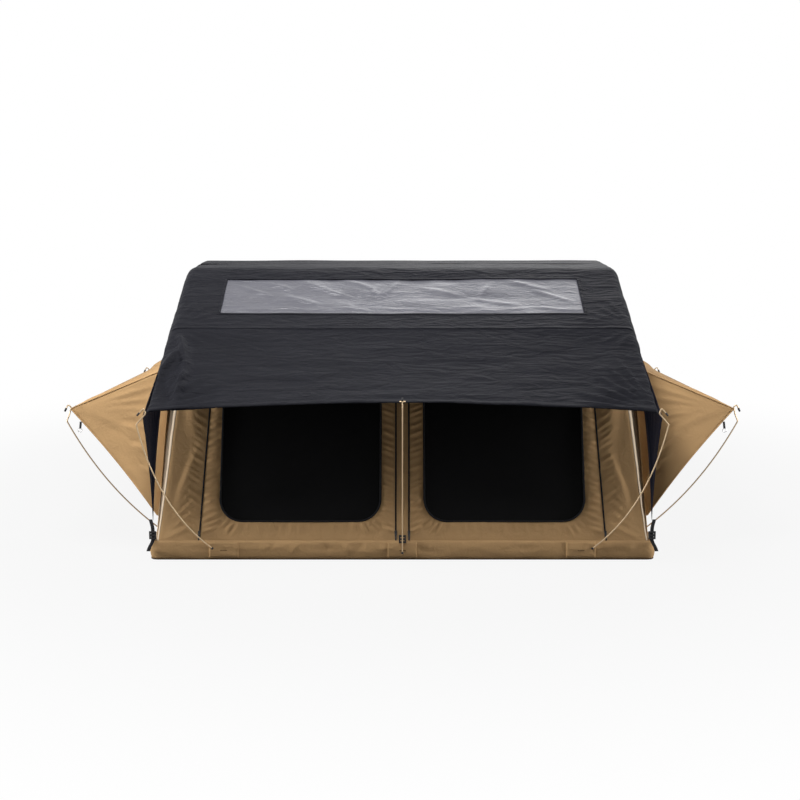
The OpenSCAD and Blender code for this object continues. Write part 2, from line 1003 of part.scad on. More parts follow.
module front_roof() {
    color(tan_canvas)
        roof_canvas();
}

module rear_fly() {
    color(dark_fly)
        mirror([0, 1, 0])
            rear_fly_sheet();
}

module front_fly() {
    color(dark_fly)
        front_fly_sheet();
}

module skylight() {
    head = fly_ridge + sky_from * slope;
    angle = atan2(-slope[1], -slope[0]);
    color("#8e8c98")
        translate([0, head[0], head[1]])
            rotate([angle, 0, 0])
                translate([-sky_w / 2 + sky_clear, -sky_l + sky_clear, -fly_t])
                    cube([sky_w - 2 * sky_clear, sky_l - 2 * sky_clear, fly_t]);
}

module awning_gusset_left() {
    color(navy)
        mirror([1, 0, 0])
            awning_cheek();
}

module awning_gusset_right() {
    color(navy)
        awning_cheek();
}

module corner_straps() {
    color(black)
        for (s = [-1, 1])
            translate([s * strap_x - strap_w / 2, -skirt_out_d - gap - strap_t, strap_foot])
                cube([strap_w, strap_t, strap_top - strap_foot]);
}

module corner_buckles() {
    color(black)
        for (s = [-1, 1])
            strap_buckle(s * strap_x, buckle_z);
}

module middle_buckle() {
    color(black)
        translate([0, strap_t, 0])
            strap_buckle(0, middle_buckle_z);
}

module front_rod_sockets() {
    color(black)
        rod_sockets(-1);
}

module rear_rod_sockets() {
    color(black)
        rod_sockets(1);
}

module front_lower_bow() {
    color(silver)
        bow(0, lower_bow_r, 180 - lower_bow_angle);
}

module front_upper_bow() {
    color(silver)
        bow(1, upper_bow_r, 180 - upper_bow_angle);
}

module rear_lower_bow() {
    color(silver)
        bow(2, lower_bow_r, lower_bow_angle);
}

module rear_upper_bow() {
    color(silver)
        bow(3, upper_bow_r, upper_bow_angle);
}

module awning_rod_left() {
    color(steel)
        mirror([1, 0, 0])
            awning_side_rod();
}

module awning_rod_middle() {
    color(steel)
        awning_middle_rod();
}

module awning_rod_right() {
    color(steel)
        awning_side_rod();
}

module hood_rod_front_left() {
    color(steel)
        mirror([1, 0, 0])
            hood_side_rod(hood_tip_z);
}

module hood_rod_front_right() {
    color(steel)
        hood_side_rod(hood_tip_z);
}

module hood_rod_rear_left() {
    color(steel)
        mirror([1, 0, 0])
            mirror([0, 1, 0])
                hood_side_rod(hood_rear_tip_z);
}

module hood_rod_rear_right() {
    color(steel)
        mirror([0, 1, 0])
            hood_side_rod(hood_rear_tip_z);
}

module hood_front_left() {
    color(tan_canvas)
        mirror([1, 0, 0])
            hood_half(hood_tip_z);
}

module hood_front_right() {
    color(tan_canvas)
        hood_half(hood_tip_z);
}

module hood_rear_left() {
    color(tan_canvas)
        mirror([1, 0, 0])
            mirror([0, 1, 0])
                hood_half(hood_rear_tip_z);
}

module hood_rear_right() {
    color(tan_canvas)
        mirror([0, 1, 0])
            hood_half(hood_rear_tip_z);
}

module door_zips() {
    color(black)
        both_sides()
            for (outer = [false, true])
                zip_place(outer)
                    translate([-zip_w / 2, 0, gap / 2])
                        cube([zip_w, zip_len, zip_t - gap / 2]);
}

module slider_outer_left() {
    mirror([1, 0, 0])
        zip_slider(true);
}

module slider_inner_left() {
    mirror([1, 0, 0])
        zip_slider(false);
}

module slider_inner_right() {
    zip_slider(false);
}

module slider_outer_right() {
    zip_slider(true);
}

rear_frame();
rear_floor();
rear_mattress();
mounting_rails();
rail_bolts();
rear_hinge_plates();
rear_plate_bolts();
pivot_pins();
pivot_nuts();
seam_seal();
rear_skirt();
rear_wall();
rear_mesh();
rear_side_wall_left();
rear_side_wall_right();
rear_roof();
rear_fly();
rear_rod_sockets();
front_frame();
front_floor();
front_mattress();
front_hinge_plates();
front_plate_bolts();
front_skirt();
front_wall();
left_window_mesh();
right_window_mesh();
door_zips();
front_side_wall_left();
front_side_wall_right();
front_roof();
front_fly();
skylight();
awning_gusset_left();
awning_gusset_right();
corner_straps();
corner_buckles();
middle_buckle();
front_rod_sockets();
front_lower_bow();
front_upper_bow();
rear_upper_bow();
rear_lower_bow();
awning_rod_left();
awning_rod_middle();
awning_rod_right();
hood_rod_front_left();
hood_rod_front_right();
hood_rod_rear_left();
hood_rod_rear_right();
hood_front_left();
hood_front_right();
hood_rear_left();
hood_rear_right();
slider_outer_left();
slider_inner_left();
slider_inner_right();
slider_outer_right();
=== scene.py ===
from math import atan, cos, hypot, pi, radians, sin, tan, tau
import bmesh
import bpy
import numpy as np
from mathutils import Matrix, Vector


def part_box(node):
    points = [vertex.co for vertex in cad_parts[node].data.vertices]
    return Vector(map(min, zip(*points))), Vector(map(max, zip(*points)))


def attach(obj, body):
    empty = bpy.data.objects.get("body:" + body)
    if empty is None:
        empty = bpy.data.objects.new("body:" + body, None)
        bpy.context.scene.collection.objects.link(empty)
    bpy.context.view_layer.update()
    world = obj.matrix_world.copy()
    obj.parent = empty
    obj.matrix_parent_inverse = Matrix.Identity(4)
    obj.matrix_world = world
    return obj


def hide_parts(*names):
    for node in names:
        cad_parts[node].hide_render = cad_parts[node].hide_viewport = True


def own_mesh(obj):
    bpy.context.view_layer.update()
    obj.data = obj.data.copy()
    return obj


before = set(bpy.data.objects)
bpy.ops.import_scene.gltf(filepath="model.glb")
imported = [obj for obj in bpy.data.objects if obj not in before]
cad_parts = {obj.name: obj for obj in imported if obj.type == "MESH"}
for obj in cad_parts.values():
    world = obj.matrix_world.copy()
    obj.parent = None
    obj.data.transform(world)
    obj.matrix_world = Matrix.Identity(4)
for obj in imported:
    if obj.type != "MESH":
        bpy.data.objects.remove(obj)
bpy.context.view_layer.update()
print("frame:", len(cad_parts), "nodes")

# camera at the photo's place, lens for a square picture
cameraSet = {"place": (-0.0105, -7.0087, 1.7384), "tilt": 80.0, "lens": 61.43, "sensor": 36.0}
cameraData = bpy.data.cameras.new("photoCamera")
cameraData.lens = cameraSet["lens"]
cameraData.sensor_width = cameraSet["sensor"]
camera = bpy.data.objects.new("photoCamera", cameraData)
camera.location = cameraSet["place"]
camera.rotation_euler = (radians(cameraSet["tilt"]), 0, 0)
bpy.context.scene.collection.objects.link(camera)
bpy.context.scene.camera = camera
bpy.context.scene.view_settings.view_transform = "Standard"

# main lines of the tent, taken from the frame; the rear half mirrors the front
wallLow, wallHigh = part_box("front_wall")
roofLow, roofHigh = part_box("front_roof")
flyLow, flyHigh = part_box("front_fly")
skirtLow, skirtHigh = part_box("front_skirt")
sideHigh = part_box("front_side_wall_right")[1]
tent = {
    "ridgeY": -0.2493,  # over the upper bow
    "lean": 0.0375,     # how the sides lean in, per metre of height
    "seam": 0.0005,     # from the hinge line to the edge of each half
    "middle": (0, 0, 0.45),
    "foldRest": (0, 0, 0.115),
    "foldKeep": 0.04,
}
halves = ((-1, "front_base", "front"), (1, "rear_base", "rear"))
flanks = ((-1, "left"), (1, "right"))
footY, footZ = wallLow.y, wallLow.z
headY, headZ = roofLow.y, wallHigh.z
wallLength = hypot(headY - footY, headZ - footZ)
wallUp = np.array((0, headY - footY, headZ - footZ)) / wallLength
wallOut = np.array((0, -wallUp[2], wallUp[1]))


def bodyX(z):
    return sideHigh.x - tent["lean"] * (z - footZ)


def wallY(z):
    return footY + (z - footZ) * wallUp[1] / wallUp[2]


# small tools for cloth
def columns(*parts):
    return np.stack(parts, axis=1)


def unit(share):  # held between 0 and 1
    return np.clip(share, 0, 1)


def hump(share):  # rises and falls again on the way from 0 to 1
    return np.sin(pi * unit(share))


def roundedPath(corners, radius):
    corners = [np.array(c, float) for c in corners]
    path = [corners[0]]
    for before, corner, after in zip(corners, corners[1:], corners[2:]):
        start = corner + radius * (before - corner) / np.linalg.norm(before - corner)
        end = corner + radius * (after - corner) / np.linalg.norm(after - corner)
        for t in np.linspace(0, 1, 9):
            path.append((1 - t) ** 2 * start + 2 * t * (1 - t) * corner + t * t * end)
    path.append(corners[-1])
    return np.array(path)


def pathStations(path):
    return np.concatenate(([0], np.cumsum(np.linalg.norm(np.diff(path, axis=0), axis=1))))


def along(path, distance):
    stations = pathStations(path)
    return columns(*[np.interp(distance, stations, path[:, i]) for i in range(path.shape[1])])


def creases(flat, lines):  # soft ridges from point to point, fading at both ends
    height = np.zeros(len(flat))
    for start, end, width, rise in lines:
        run = np.subtract(end, start)
        length = np.hypot(*run)
        run = run / length
        offset = flat - start
        share = offset @ run / length
        off = offset @ np.array((-run[1], run[0]))
        height += rise * unit(1 - (2 * share - 1) ** 2) ** 1.5 * np.exp(-(off / width) ** 2)
    return height


def fan(count, start, startStep, end, endStep, width, rise, side=1):  # a row of creases in even steps
    return [((side * (start[0] + startStep[0] * k), start[1] + startStep[1] * k),
             (side * (end[0] + endStep[0] * k), end[1] + endStep[1] * k), width, rise) for k in range(count)]


def swell(flat, wave, seed, stretch=(1, 1), sines=7):  # broad uneven waves from a few sines
    draw = np.random.default_rng(seed)
    total = np.zeros(len(flat))
    for angle, phase, pitch in draw.uniform((0, 0, 0.6), (tau, tau, 1.7), (sines, 3)):
        turn = flat[:, 0] * stretch[0] * cos(angle) + flat[:, 1] * stretch[1] * sin(angle)
        total += np.sin(tau * pitch / wave * turn + phase)
    return total / sines


def ripples(flat, waves):  # each wave has a rise, then what swell takes
    return sum(rise * swell(flat, *wave) for rise, *wave in waves)


def fromOpening(flat, opening):  # distance from a rounded rectangle, and the way out of it
    x, y, w, h, r = opening
    offset = flat - (x, y)
    sign = np.where(offset < 0, -1.0, 1.0)
    over = np.abs(offset) - (w / 2 - r, h / 2 - r)
    outer = np.maximum(over, 0)
    corner = np.hypot(outer[:, 0], outer[:, 1])
    away = corner + np.minimum(over.max(axis=1), 0) - r
    wide = (over[:, 0] > over[:, 1])[:, None]
    straight = np.where(wide, (1.0, 0.0), (0.0, 1.0))
    out = np.where(corner[:, None] > 0, outer / np.maximum(corner, 1e-9)[:, None], straight)
    return away, out * sign


def roundedOutline(x, y, w, h, r, steps=10):
    points = []
    for turn, (sx, sy) in enumerate(((1, 1), (-1, 1), (-1, -1), (1, -1))):
        for k in range(steps + 1):
            a = pi / 2 * (turn + k / steps)
            points.append((x + sx * (w / 2 - r) + r * cos(a), y + sy * (h / 2 - r) + r * sin(a)))
    return np.array(points)


def linkObject(name, mesh):
    obj = bpy.data.objects.new(name, mesh)
    bpy.context.scene.collection.objects.link(obj)
    return obj


def finishMesh(name, bm, smooth=True):
    for face in bm.faces:
        face.smooth = smooth
    mesh = bpy.data.meshes.new(name)
    bm.to_mesh(mesh)
    bm.free()
    return linkObject(name, mesh)


def thicken(obj, thick, offset):
    thickness = obj.modifiers.new("thickness", "SOLIDIFY")
    thickness.thickness = thick
    thickness.offset = offset
    return obj


def makeSheet(name, patches, cell, place, relief=None, openings=(), trim=None, lift=0.0, thick=0.0015):
    bm = bmesh.new()
    for x0, x1, y0, y1 in patches:
        columns = max(2, round((x1 - x0) / cell))
        rows = max(2, round((y1 - y0) / cell))
        grid = bmesh.ops.create_grid(bm, x_segments=columns, y_segments=rows, size=0.5)
        for vert in grid["verts"]:
            vert.co = (x0 + (vert.co.x + 0.5) * (x1 - x0), y0 + (vert.co.y + 0.5) * (y1 - y0), 0)
    bm.verts.index_update()
    flat = np.array([vert.co[:2] for vert in bm.verts])
    if trim:
        flat = trim(flat)
    outside = np.ones(len(flat), bool)
    corners = np.array([[vert.index for vert in face.verts] for face in bm.faces])
    reach = 0.6 * cell
    for opening in openings:  # the nearest rows of the weave are drawn to the opening's edge
        away, out = fromOpening(flat, opening)
        near = np.abs(away) < reach
        cut = corners[(away[corners] >= reach).any(axis=1)]
        near[cut[away[cut] < 0]] = True  # no tooth of cloth stays inside
        flat[near] -= away[near, None] * out[near]
        outside &= fromOpening(flat, opening)[0] > 1e-5
    cutMap = bm.loops.layers.uv.new("cut")
    for vert, point in zip(bm.verts, place(flat)):
        vert.co = point
    for face in bm.faces:
        for loop in face.loops:
            loop[cutMap].uv = flat[loop.vert.index]
    bm.normal_update()
    middle = Vector(tent["middle"])
    if sum(face.normal.dot(face.calc_center_median() - middle) * face.calc_area() for face in bm.faces) < 0:
        bmesh.ops.reverse_faces(bm, faces=bm.faces)
        bm.normal_update()
    rise = np.full(len(flat), lift)
    if relief:
        rise = rise + relief(flat)
    for vert, height in zip(bm.verts, rise):
        vert.co += vert.normal * height
    if openings:
        gone = [face for face in bm.faces if not any(outside[vert.index] for vert in face.verts)]
        bmesh.ops.delete(bm, geom=gone, context="FACES")
    return thicken(finishMesh(name, bm), thick, -1)


def makeTube(name, paths, radius, sides=3):  # each path is points and whether it closes
    curve = bpy.data.curves.new(name, "CURVE")
    curve.dimensions = "3D"
    curve.bevel_depth = radius
    curve.bevel_resolution = sides
    curve.use_fill_caps = True
    for points, closed in paths:
        spline = curve.splines.new("POLY")
        spline.points.add(len(points) - 1)
        for spot, point in zip(spline.points, points):
            spot.co = (*point, 1)
        spline.use_cyclic_u = closed
    source = bpy.data.objects.new(name + "Line", curve)
    mesh = bpy.data.meshes.new_from_object(source)
    bpy.data.objects.remove(source)
    bpy.data.curves.remove(curve)
    mesh.name = name
    mesh.materials.clear()
    for polygon in mesh.polygons:
        polygon.use_smooth = True
    return linkObject(name, mesh)


def dress(obj, body, slotName, *nodes, look=None, soft=True):
    obj.data.materials.clear()
    obj.data.materials.append(finishes[look or slotName])
    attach(obj, body)
    if nodes:
        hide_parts(*nodes)
    if soft:
        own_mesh(obj)
    return obj


# finishes
def startFinish(name, colour, rough, more=()):
    finish = bpy.data.materials.new(name)
    finish.use_nodes = True
    tree = finish.node_tree
    shader = tree.nodes["Principled BSDF"]
    for key, value in {"Base Color": (*colour, 1), "Roughness": rough, **dict(more)}.items():
        shader.inputs[key].default_value = value
    return finish, tree, shader, addNode(tree, "TexCoord").outputs


def addNode(tree, kind, *sources, **values):  # sockets are linked, other values set an input or an option
    made = tree.nodes.new("ShaderNode" + kind)
    for key, value in [*enumerate(sources), *values.items()]:
        if isinstance(value, bpy.types.NodeSocket):
            tree.links.new(value, made.inputs[key])
        elif key in made.inputs:
            made.inputs[key].default_value = value
        else:
            setattr(made, key, value)
    return made


def mottle(tree, shader, source, colour, spread, scale, detail=5.0):  # uneven colour round the main one
    spots = addNode(tree, "TexNoise", Vector=source, Scale=scale, Detail=detail, Roughness=0.6)
    blend = addNode(tree, "Mix", data_type="RGBA", Factor=spots.outputs["Fac"])
    for socket, side in ((6, -1), (7, 1)):  # the two colours
        blend.inputs[socket].default_value = (*[c * (1 + side * spread) for c in colour], 1)
    tree.links.new(blend.outputs[2], shader.inputs["Base Color"])
    return spots.outputs["Fac"]


def addBump(tree, shader, height, distance, strength):
    bump = addNode(tree, "Bump", Height=height, Distance=distance, Strength=strength)
    if shader.inputs["Normal"].is_linked:
        tree.links.new(shader.inputs["Normal"].links[0].from_socket, bump.inputs["Normal"])
    tree.links.new(bump.outputs["Normal"], shader.inputs["Normal"])


def weaveHeight(tree, source, pitch):  # warp and weft as two sets of ribs
    ribs = [addNode(tree, "TexWave", bands_direction=direction, Vector=source, Distortion=0.4,
                    Scale=tau / (20 * pitch)).outputs["Fac"] for direction in "XY"]
    return addNode(tree, "Math", *ribs, operation="ADD").outputs["Value"]


def stretched(tree, source, scale):
    return addNode(tree, "Mapping", Vector=source, Scale=scale).outputs["Vector"]


def foldNoise(tree, source, scale, detail, distortion):
    noise = addNode(tree, "TexNoise", Vector=source, Scale=scale, Detail=detail, Distortion=distortion)
    return noise.outputs["Fac"]


def fabric(name, colour, rough, pitch, depth, spread, crumple, gloss, stretch=(1, 1, 1)):
    more = {"Sheen Weight": 0.1 * gloss, "Sheen Roughness": 0.5, "Specular IOR Level": gloss}
    finish, tree, shader, spot = startFinish(name, colour, rough, more)
    mottle(tree, shader, spot["Object"], colour, spread, 7.0)
    drawn = stretched(tree, spot["Object"], stretch)
    addBump(tree, shader, foldNoise(tree, drawn, 26.0, 4.0, 1.1), crumple, 0.6)
    addBump(tree, shader, weaveHeight(tree, spot["UV"], pitch), depth, 0.5)
    return finish


def metal(name, colour, rough, grain):
    finish, tree, shader, spot = startFinish(name, colour, rough, {"Metallic": 1.0})
    lines = mottle(tree, shader, stretched(tree, spot["Object"], grain), colour, 0.12, 30.0)
    addBump(tree, shader, lines, 0.0004, 0.3)
    return finish


def moulded(name, colour, rough, grain):
    finish, tree, shader, spot = startFinish(name, colour, rough, {"Specular IOR Level": 0.25})
    addBump(tree, shader, mottle(tree, shader, spot["Object"], colour, 0.25, grain), 0.0005, 0.35)
    return finish


def filmFinish(name, colour):
    finish, tree, shader, spot = startFinish(name, colour, 0.3, {"Coat Weight": 0.12, "Coat Roughness": 0.2})
    drawn = stretched(tree, spot["Object"], (0.7, 2.2, 2.2))
    mottle(tree, shader, drawn, colour, 0.22, 9.0, 7.0)
    addBump(tree, shader, foldNoise(tree, drawn, 16.0, 6.0, 2.0), 0.006, 0.7)
    return finish


def netFinish(name, colour, pitch):
    finish, tree, shader, spot = startFinish(name, colour, 0.6, {"Specular IOR Level": 0.05})
    mottle(tree, shader, spot["Object"], colour, 0.5, 3.0)
    addBump(tree, shader, weaveHeight(tree, spot["UV"], pitch), 0.0004, 0.5)
    return finish


finishes = {  # fabrics: colour, roughness, pitch and depth of the weave, spread of colour, crumple, gloss
    "tan_canvas": fabric("tanCanvas", (0.43, 0.268, 0.126), 0.85, 0.0013, 0.0003, 0.1, 0.005, 0.15),
    "fly": fabric("anthraciteFly", (0.0108, 0.011, 0.0142), 0.5, 0.0011, 0.0002, 0.2, 0.026, 0.03,
                  (0.28, 1, 1)),
    "navy": fabric("navyCheek", (0.010, 0.0105, 0.019), 0.7, 0.0011, 0.0002, 0.2, 0.003, 0.08),
    "foam": fabric("mattressCover", (0.42, 0.4, 0.35), 0.9, 0.002, 0.0006, 0.08, 0.002, 0.2),
    "webbing": fabric("blackWebbing", (0.016, 0.016, 0.018), 0.75, 0.0022, 0.0007, 0.3, 0.0008, 0.15),
    "mesh": netFinish("insectMesh", (0.0022, 0.0022, 0.0024), 0.0024),
    "skylight": filmFinish("skylightFilm", (0.07, 0.07, 0.086)),
    "aluminium": metal("satinAluminium", (0.68, 0.69, 0.7), 0.36, (1, 1, 9)),
    "steel": metal("zincSteel", (0.56, 0.56, 0.57), 0.33, (3, 3, 3)),
    "spring_steel": metal("springSteel", (0.4, 0.3, 0.19), 0.45, (8, 8, 1)),
    "black_plastic": moulded("blackPlastic", (0.014, 0.014, 0.015), 0.45, 600.0),
    "rubber": moulded("sealRubber", (0.02, 0.02, 0.02), 0.7, 300.0),
    "floor": moulded("floorPanel", (0.42, 0.41, 0.38), 0.6, 120.0),
    # a pale copy of the canvas with a painted highlight for the lit corner strips, then bound edges, whose
    # brown also paints the shade in the pocket slits
    "pale": fabric("paintedHighlightBand", (0.66, 0.54, 0.4), 0.85, 0.0013, 0.0003, 0.06, 0.003, 0.1),
    "brown": fabric("brownBinding", (0.06, 0.036, 0.02), 0.8, 0.0015, 0.0004, 0.2, 0.001, 0.1),
    "black": fabric("blackBinding", (0.009, 0.009, 0.01), 0.75, 0.0015, 0.0004, 0.3, 0.001, 0.1),
}
print("finishes:", len(finishes))

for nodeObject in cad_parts.values():  # pieces that keep their own shape
    slotName = nodeObject.data.materials[0].name.split(".")[0]
    nodeObject.data.materials[0] = finishes[slotName]

# front and rear walls, with conical round corners that run on to the sides
wallSet = {
    "cell": {-1: 0.0065, 1: 0.014}, "wrap": 0.03, "off": 0.0015, "cornerFoot": 0.016, "cornerHead": 0.085,
    "covered": 0.36,
    "window": {"x": 0.4525, "w": 0.711, "sill": 0.11, "h": 0.72, "r": 0.1},
    "zips": (0.029, 0.896), "zipFoot": 0.032, "zipLength": 0.86,
    "leansPast": 0.5, "zipLean": tan(radians(2.6)),
    # beside each zip: foot of the zip, reach, tilt, inner or outer side, height of the puckers
    "puckers": ((0.029, 0.066, -0.45, 1, 0.008), (0.896, -0.085, -0.32, -1, 0.008),
                (0.896, 0.09, -0.7, 1, 0.0042)),
    "puckerCount": 27, "puckerFrom": 0.055, "puckerStep": 0.0315, "puckerWidth": 0.0078,
    # rows of creases as fan takes them: from the foot of the corner, and slack swags below the eave
    "tension": (7, (1.055, 0.03), (-0.008, 0.03), (0.91, 0.1), (0, 0.06), 0.012, 0.006),
    "swags": (4, (1.0, 1.03), (-0.022, 0), (0.935, 0.44), (-0.012, 0.05), 0.024, 0.009),
    "swells": ((0.003, 0.45, 3), (0.0014, 0.12, 5)),
}


def cornerRound(up):
    return np.interp(up, (0, wallLength), (wallSet["cornerFoot"], wallSet["cornerHead"]))


# the corner's course for a width of 1: a short bend, a flat slanted band and a second bend on to the side
bandSet = {"turn": 50, "knots": (0, 0.14, 0.84, 1), "half": 0.03, "from": 0.1, "share": 0.76}
bandGrid = np.linspace(0, 1, 61)
bandTurn = np.radians(np.interp(bandGrid, bandSet["knots"], (0, bandSet["turn"], bandSet["turn"], 90)))
bandX, bandY = [np.concatenate(([0], np.cumsum((run[1:] + run[:-1]) / 2)))
                for run in (np.cos(bandTurn), np.sin(bandTurn))]
bandRun = (len(bandGrid) - 1) / bandX[-1]
bandX, bandY = bandX / bandX[-1], bandY / bandX[-1]


def onWall(side, lift=0.0):  # side is -1 in front, 1 behind
    def place(flat):
        cut, up = flat.T
        z = footZ + up * wallUp[2]
        width = bodyX(z) + wallSet["off"]
        r = cornerRound(up)
        across = np.abs(cut)
        turn = unit((across - width + r) / (bandRun * r))
        past = np.maximum(across - width + r - bandRun * r, 0)
        x = np.where(turn > 0, width - r + r * np.interp(turn, bandGrid, bandX), across)
        y = footY + up * wallUp[1] + r * np.interp(turn, bandGrid, bandY) + past
        points = columns(x * np.sign(cut), y, z) + lift * wallOut
        return points * (1, -side, 1)
    return place


def zipX(x, up):
    return x - (up - wallSet["zipFoot"]) * wallSet["zipLean"] * (x > wallSet["leansPast"])


def puckerLines(side, x, reach, tilt, inward, high):
    lines = []
    count = wallSet["puckerCount"]
    for k in range(count):
        up = wallSet["puckerFrom"] + wallSet["puckerStep"] * k + 0.006 * sin(5.1 * k + x * 9 + inward)
        rise = high * (1 + 0.35 * sin(2.3 * k + 4 * x))
        start = zipX(x, up)
        shorter = 0.4 * (k / (count - 1)) * (x > wallSet["leansPast"])  # where the zip leans to the window
        across = reach * (1 - shorter)
        lines.append(((side * start, up), (side * (start + across), up - tilt * abs(across)),
                      wallSet["puckerWidth"], rise))
    return lines


def gatherLines(side):  # under a window, and fanned out from its lower corners
    lines = []
    window = wallSet["window"]
    for k in range(13):
        x = side * (0.18 + 0.045 * k)
        lines.append(((x, 0.112), (x + 0.012 * sin(k), 0.052 + 0.012 * sin(3 * k)), 0.008, 0.003))
    y, near = window["sill"] + window["r"], window["r"] + 0.006
    for end in (-1, 1):
        x = window["x"] + end * (window["w"] / 2 - window["r"])
        for k in range(8):
            a, far = radians(-82 + 12 * k), window["r"] + 0.075 + 0.01 * sin(2.7 * k)
            b = a + 0.12
            lines.append(((side * (x + end * near * cos(a)), y + near * sin(a)),
                          (side * (x + end * far * cos(b)), y + far * sin(b)), 0.008, 0.0055))
    return lines


def wallRelief(flat):
    lines = []
    for side in (-1, 1):
        for pucker in wallSet["puckers"]:
            lines += puckerLines(side, *pucker)
        lines += fan(*wallSet["tension"], side) + fan(*wallSet["swags"], side) + gatherLines(side)
    return creases(flat, lines) + ripples(flat, wallSet["swells"])


def rearWallRelief(flat):  # flat where the fly hangs over it
    bare = wallLength - wallSet["covered"] - flat[:, 1]
    return wallRelief(flat) * unit(bare / 0.06)


def bandTrim(flat):  # painted highlight: a pale strip on the slanted band, as conical as the corner, stands in for the light falling on it
    cut, up = flat.T
    share = 0.5 + (np.abs(cut) - 1) / (2 * bandSet["half"])
    r = cornerRound(up)
    edge = bodyX(footZ + up * wallUp[2]) + wallSet["off"] - r
    return columns(np.sign(cut) * (edge + (bandSet["from"] + bandSet["share"] * share) * bandRun * r), up)


def bindWindows(name, body, place, openings, radius):
    binding = makeTube(name, [(place(roundedOutline(*opening)), True) for opening in openings], radius)
    return dress(binding, body, "webbing", look="black")


netSet = {"cell": {-1: 0.02, 1: 0.03}, "hem": 0.012, "back": 0.0035, "slack": 0.004, "thick": 0.0008}


def netRelief(flat):
    return -netSet["back"] - netSet["slack"] * (1 + swell(flat, 0.6, 11))


def netPatch(opening, hem=0.0):
    x, y, w, h = opening[:4]
    return x - w / 2 - hem, x + w / 2 + hem, y - h / 2 - hem, y + h / 2 + hem


window = wallSet["window"]
windows = [(side * window["x"], window["sill"] + window["h"] / 2, window["w"], window["h"], window["r"])
           for side in (-1, 1)]
netPatches = [netPatch(opening, netSet["hem"]) for opening in windows]
netPlans = {
    -1: [(corner + "WindowNet", corner + "_window_mesh", [patch])
         for (_, corner), patch in zip(flanks, netPatches)],
    1: [("rearWindowNets", "rear_mesh", netPatches)],
}
halfCut = sideHigh.x + wallSet["wrap"]
bandPatches = [(side - bandSet["half"], side + bandSet["half"], 0.02, wallLength) for side in (-1, 1)]
for side, body, label in halves:
    place = onWall(side)
    relief = wallRelief if side < 0 else rearWallRelief
    wall = makeSheet(label + "WallCloth", [(-halfCut, halfCut, 0, wallLength)], wallSet["cell"][side], place,
                     relief=relief, openings=windows)
    dress(wall, body, "tan_canvas", label + "_wall")
    binding = bindWindows(label + "WindowBinding", body, onWall(side, 0.001), windows, 0.0045)
    # painted highlight: a paler copy of the canvas lies over each corner's slanted band where the side light
    # falls
    bands = makeSheet(label + "CornerPaintedHighlight", bandPatches, 0.01, place, relief=relief, trim=bandTrim,
                      lift=0.0015, thick=0.001)
    dress(bands, body, "tan_canvas", look="pale")
    for name, node, patches in netPlans[side]:
        net = makeSheet(name, patches, netSet["cell"][side], place, relief=netRelief, thick=netSet["thick"])
        dress(net, body, "mesh", node)
        x0, x1, y0, y1 = patches[0]
print("walls and windows")

# zips: a black tape with a raised row of teeth, and a slider on each
zipSet = {"width": 0.0075, "lift": 0.0012, "cell": 0.0025, "teeth": 0.0014, "pitch": 0.006}
zipPatches = [(side * x - zipSet["width"] / 2, side * x + zipSet["width"] / 2,
               wallSet["zipFoot"], wallSet["zipFoot"] + wallSet["zipLength"])
              for x in wallSet["zips"] for side in (-1, 1)]


def leanZip(flat):
    x, up = flat.T
    return columns(np.sign(x) * zipX(np.abs(x), up), up)


def zipRelief(flat):
    off = np.min([np.abs(np.abs(flat[:, 0]) - zipX(x, flat[:, 1])) for x in wallSet["zips"]], axis=0)
    tooth = 0.75 + 0.25 * np.sign(np.sin(flat[:, 1] * tau / zipSet["pitch"]))
    return zipSet["teeth"] * np.exp(-(off / 0.0018) ** 2) * tooth + wallRelief(flat)


zips = makeSheet("doorZipTapes", zipPatches, zipSet["cell"], onWall(-1), relief=zipRelief, trim=leanZip,
                 lift=zipSet["lift"])
dress(zips, "front_base", "black_plastic", "door_zips", look="black")

sliderSet = {"size": (0.012, 0.026, 0.005), "start": 0.008, "lift": 0.0065,
             "pull": (0.007, 0.034, 0.0022), "pullPlace": (0, -0.016, 0.00375)}


def makeSlider(name, x, lean, node):
    bm = bmesh.new()
    bmesh.ops.create_cube(bm, size=1)
    bmesh.ops.scale(bm, verts=bm.verts, vec=sliderSet["size"])
    for vert in bm.verts:  # narrower where the two sides of the zip part
        if vert.co.y < 0:
            vert.co.x *= 0.7
    pull = bmesh.ops.create_cube(bm, size=1)["verts"]
    bmesh.ops.scale(bm, verts=pull, vec=sliderSet["pull"])
    bmesh.ops.translate(bm, verts=pull, vec=sliderSet["pullPlace"])
    bmesh.ops.bevel(bm, geom=bm.edges[:], offset=0.0011, segments=2, profile=0.5, affect="EDGES", material=-1)
    up = wallSet["zipFoot"] + sliderSet["start"] + sliderSet["size"][1] / 2
    base = Matrix.Translation(onWall(-1)(np.array([(x, up)]))[0])
    turn = Matrix(((1, 0, 0), (0, wallUp[1], wallOut[1]), (0, wallUp[2], wallOut[2]))).to_4x4()
    lift = Matrix.Translation((0, 0, sliderSet["lift"]))
    bmesh.ops.transform(bm, verts=bm.verts, matrix=base @ turn @ Matrix.Rotation(lean, 4, "Z") @ lift)
    dress(finishMesh(name, bm), node, "black_plastic", node, soft=False)


for x, label in zip(wallSet["zips"], ("inner", "outer")):
    for side, corner in flanks:
        lean = side * atan(wallSet["zipLean"]) * (label == "outer")
        makeSlider("zipSlider" + label.title() + corner.title(), side * x, lean, f"slider_{label}_{corner}")
print("zips")

# side walls, each with a mesh window below its hood
sideSet = {
    "cell": 0.014, "below": 0.035, "footIn": 0.006, "flat": (1.2, 1.15),
    "window": (0.45, 0.46, 0.58, 0.44, 0.06),
    "swells": ((0.002, 0.4, 17),),
    "tension": (5, (1.12, 0.1), (0, 0), (0.55, 0.25), (-0.05, 0.11), 0.02, 0.004),
    "slack": (4, (0.75, 0.93), (0, 0), (0.4, 0.62), (0.1, -0.02), 0.018, 0.003),
}
roofLine = np.array([(0, roofHigh.z), (-tent["ridgeY"], roofHigh.z), (-headY, headZ)])  # y grows forward


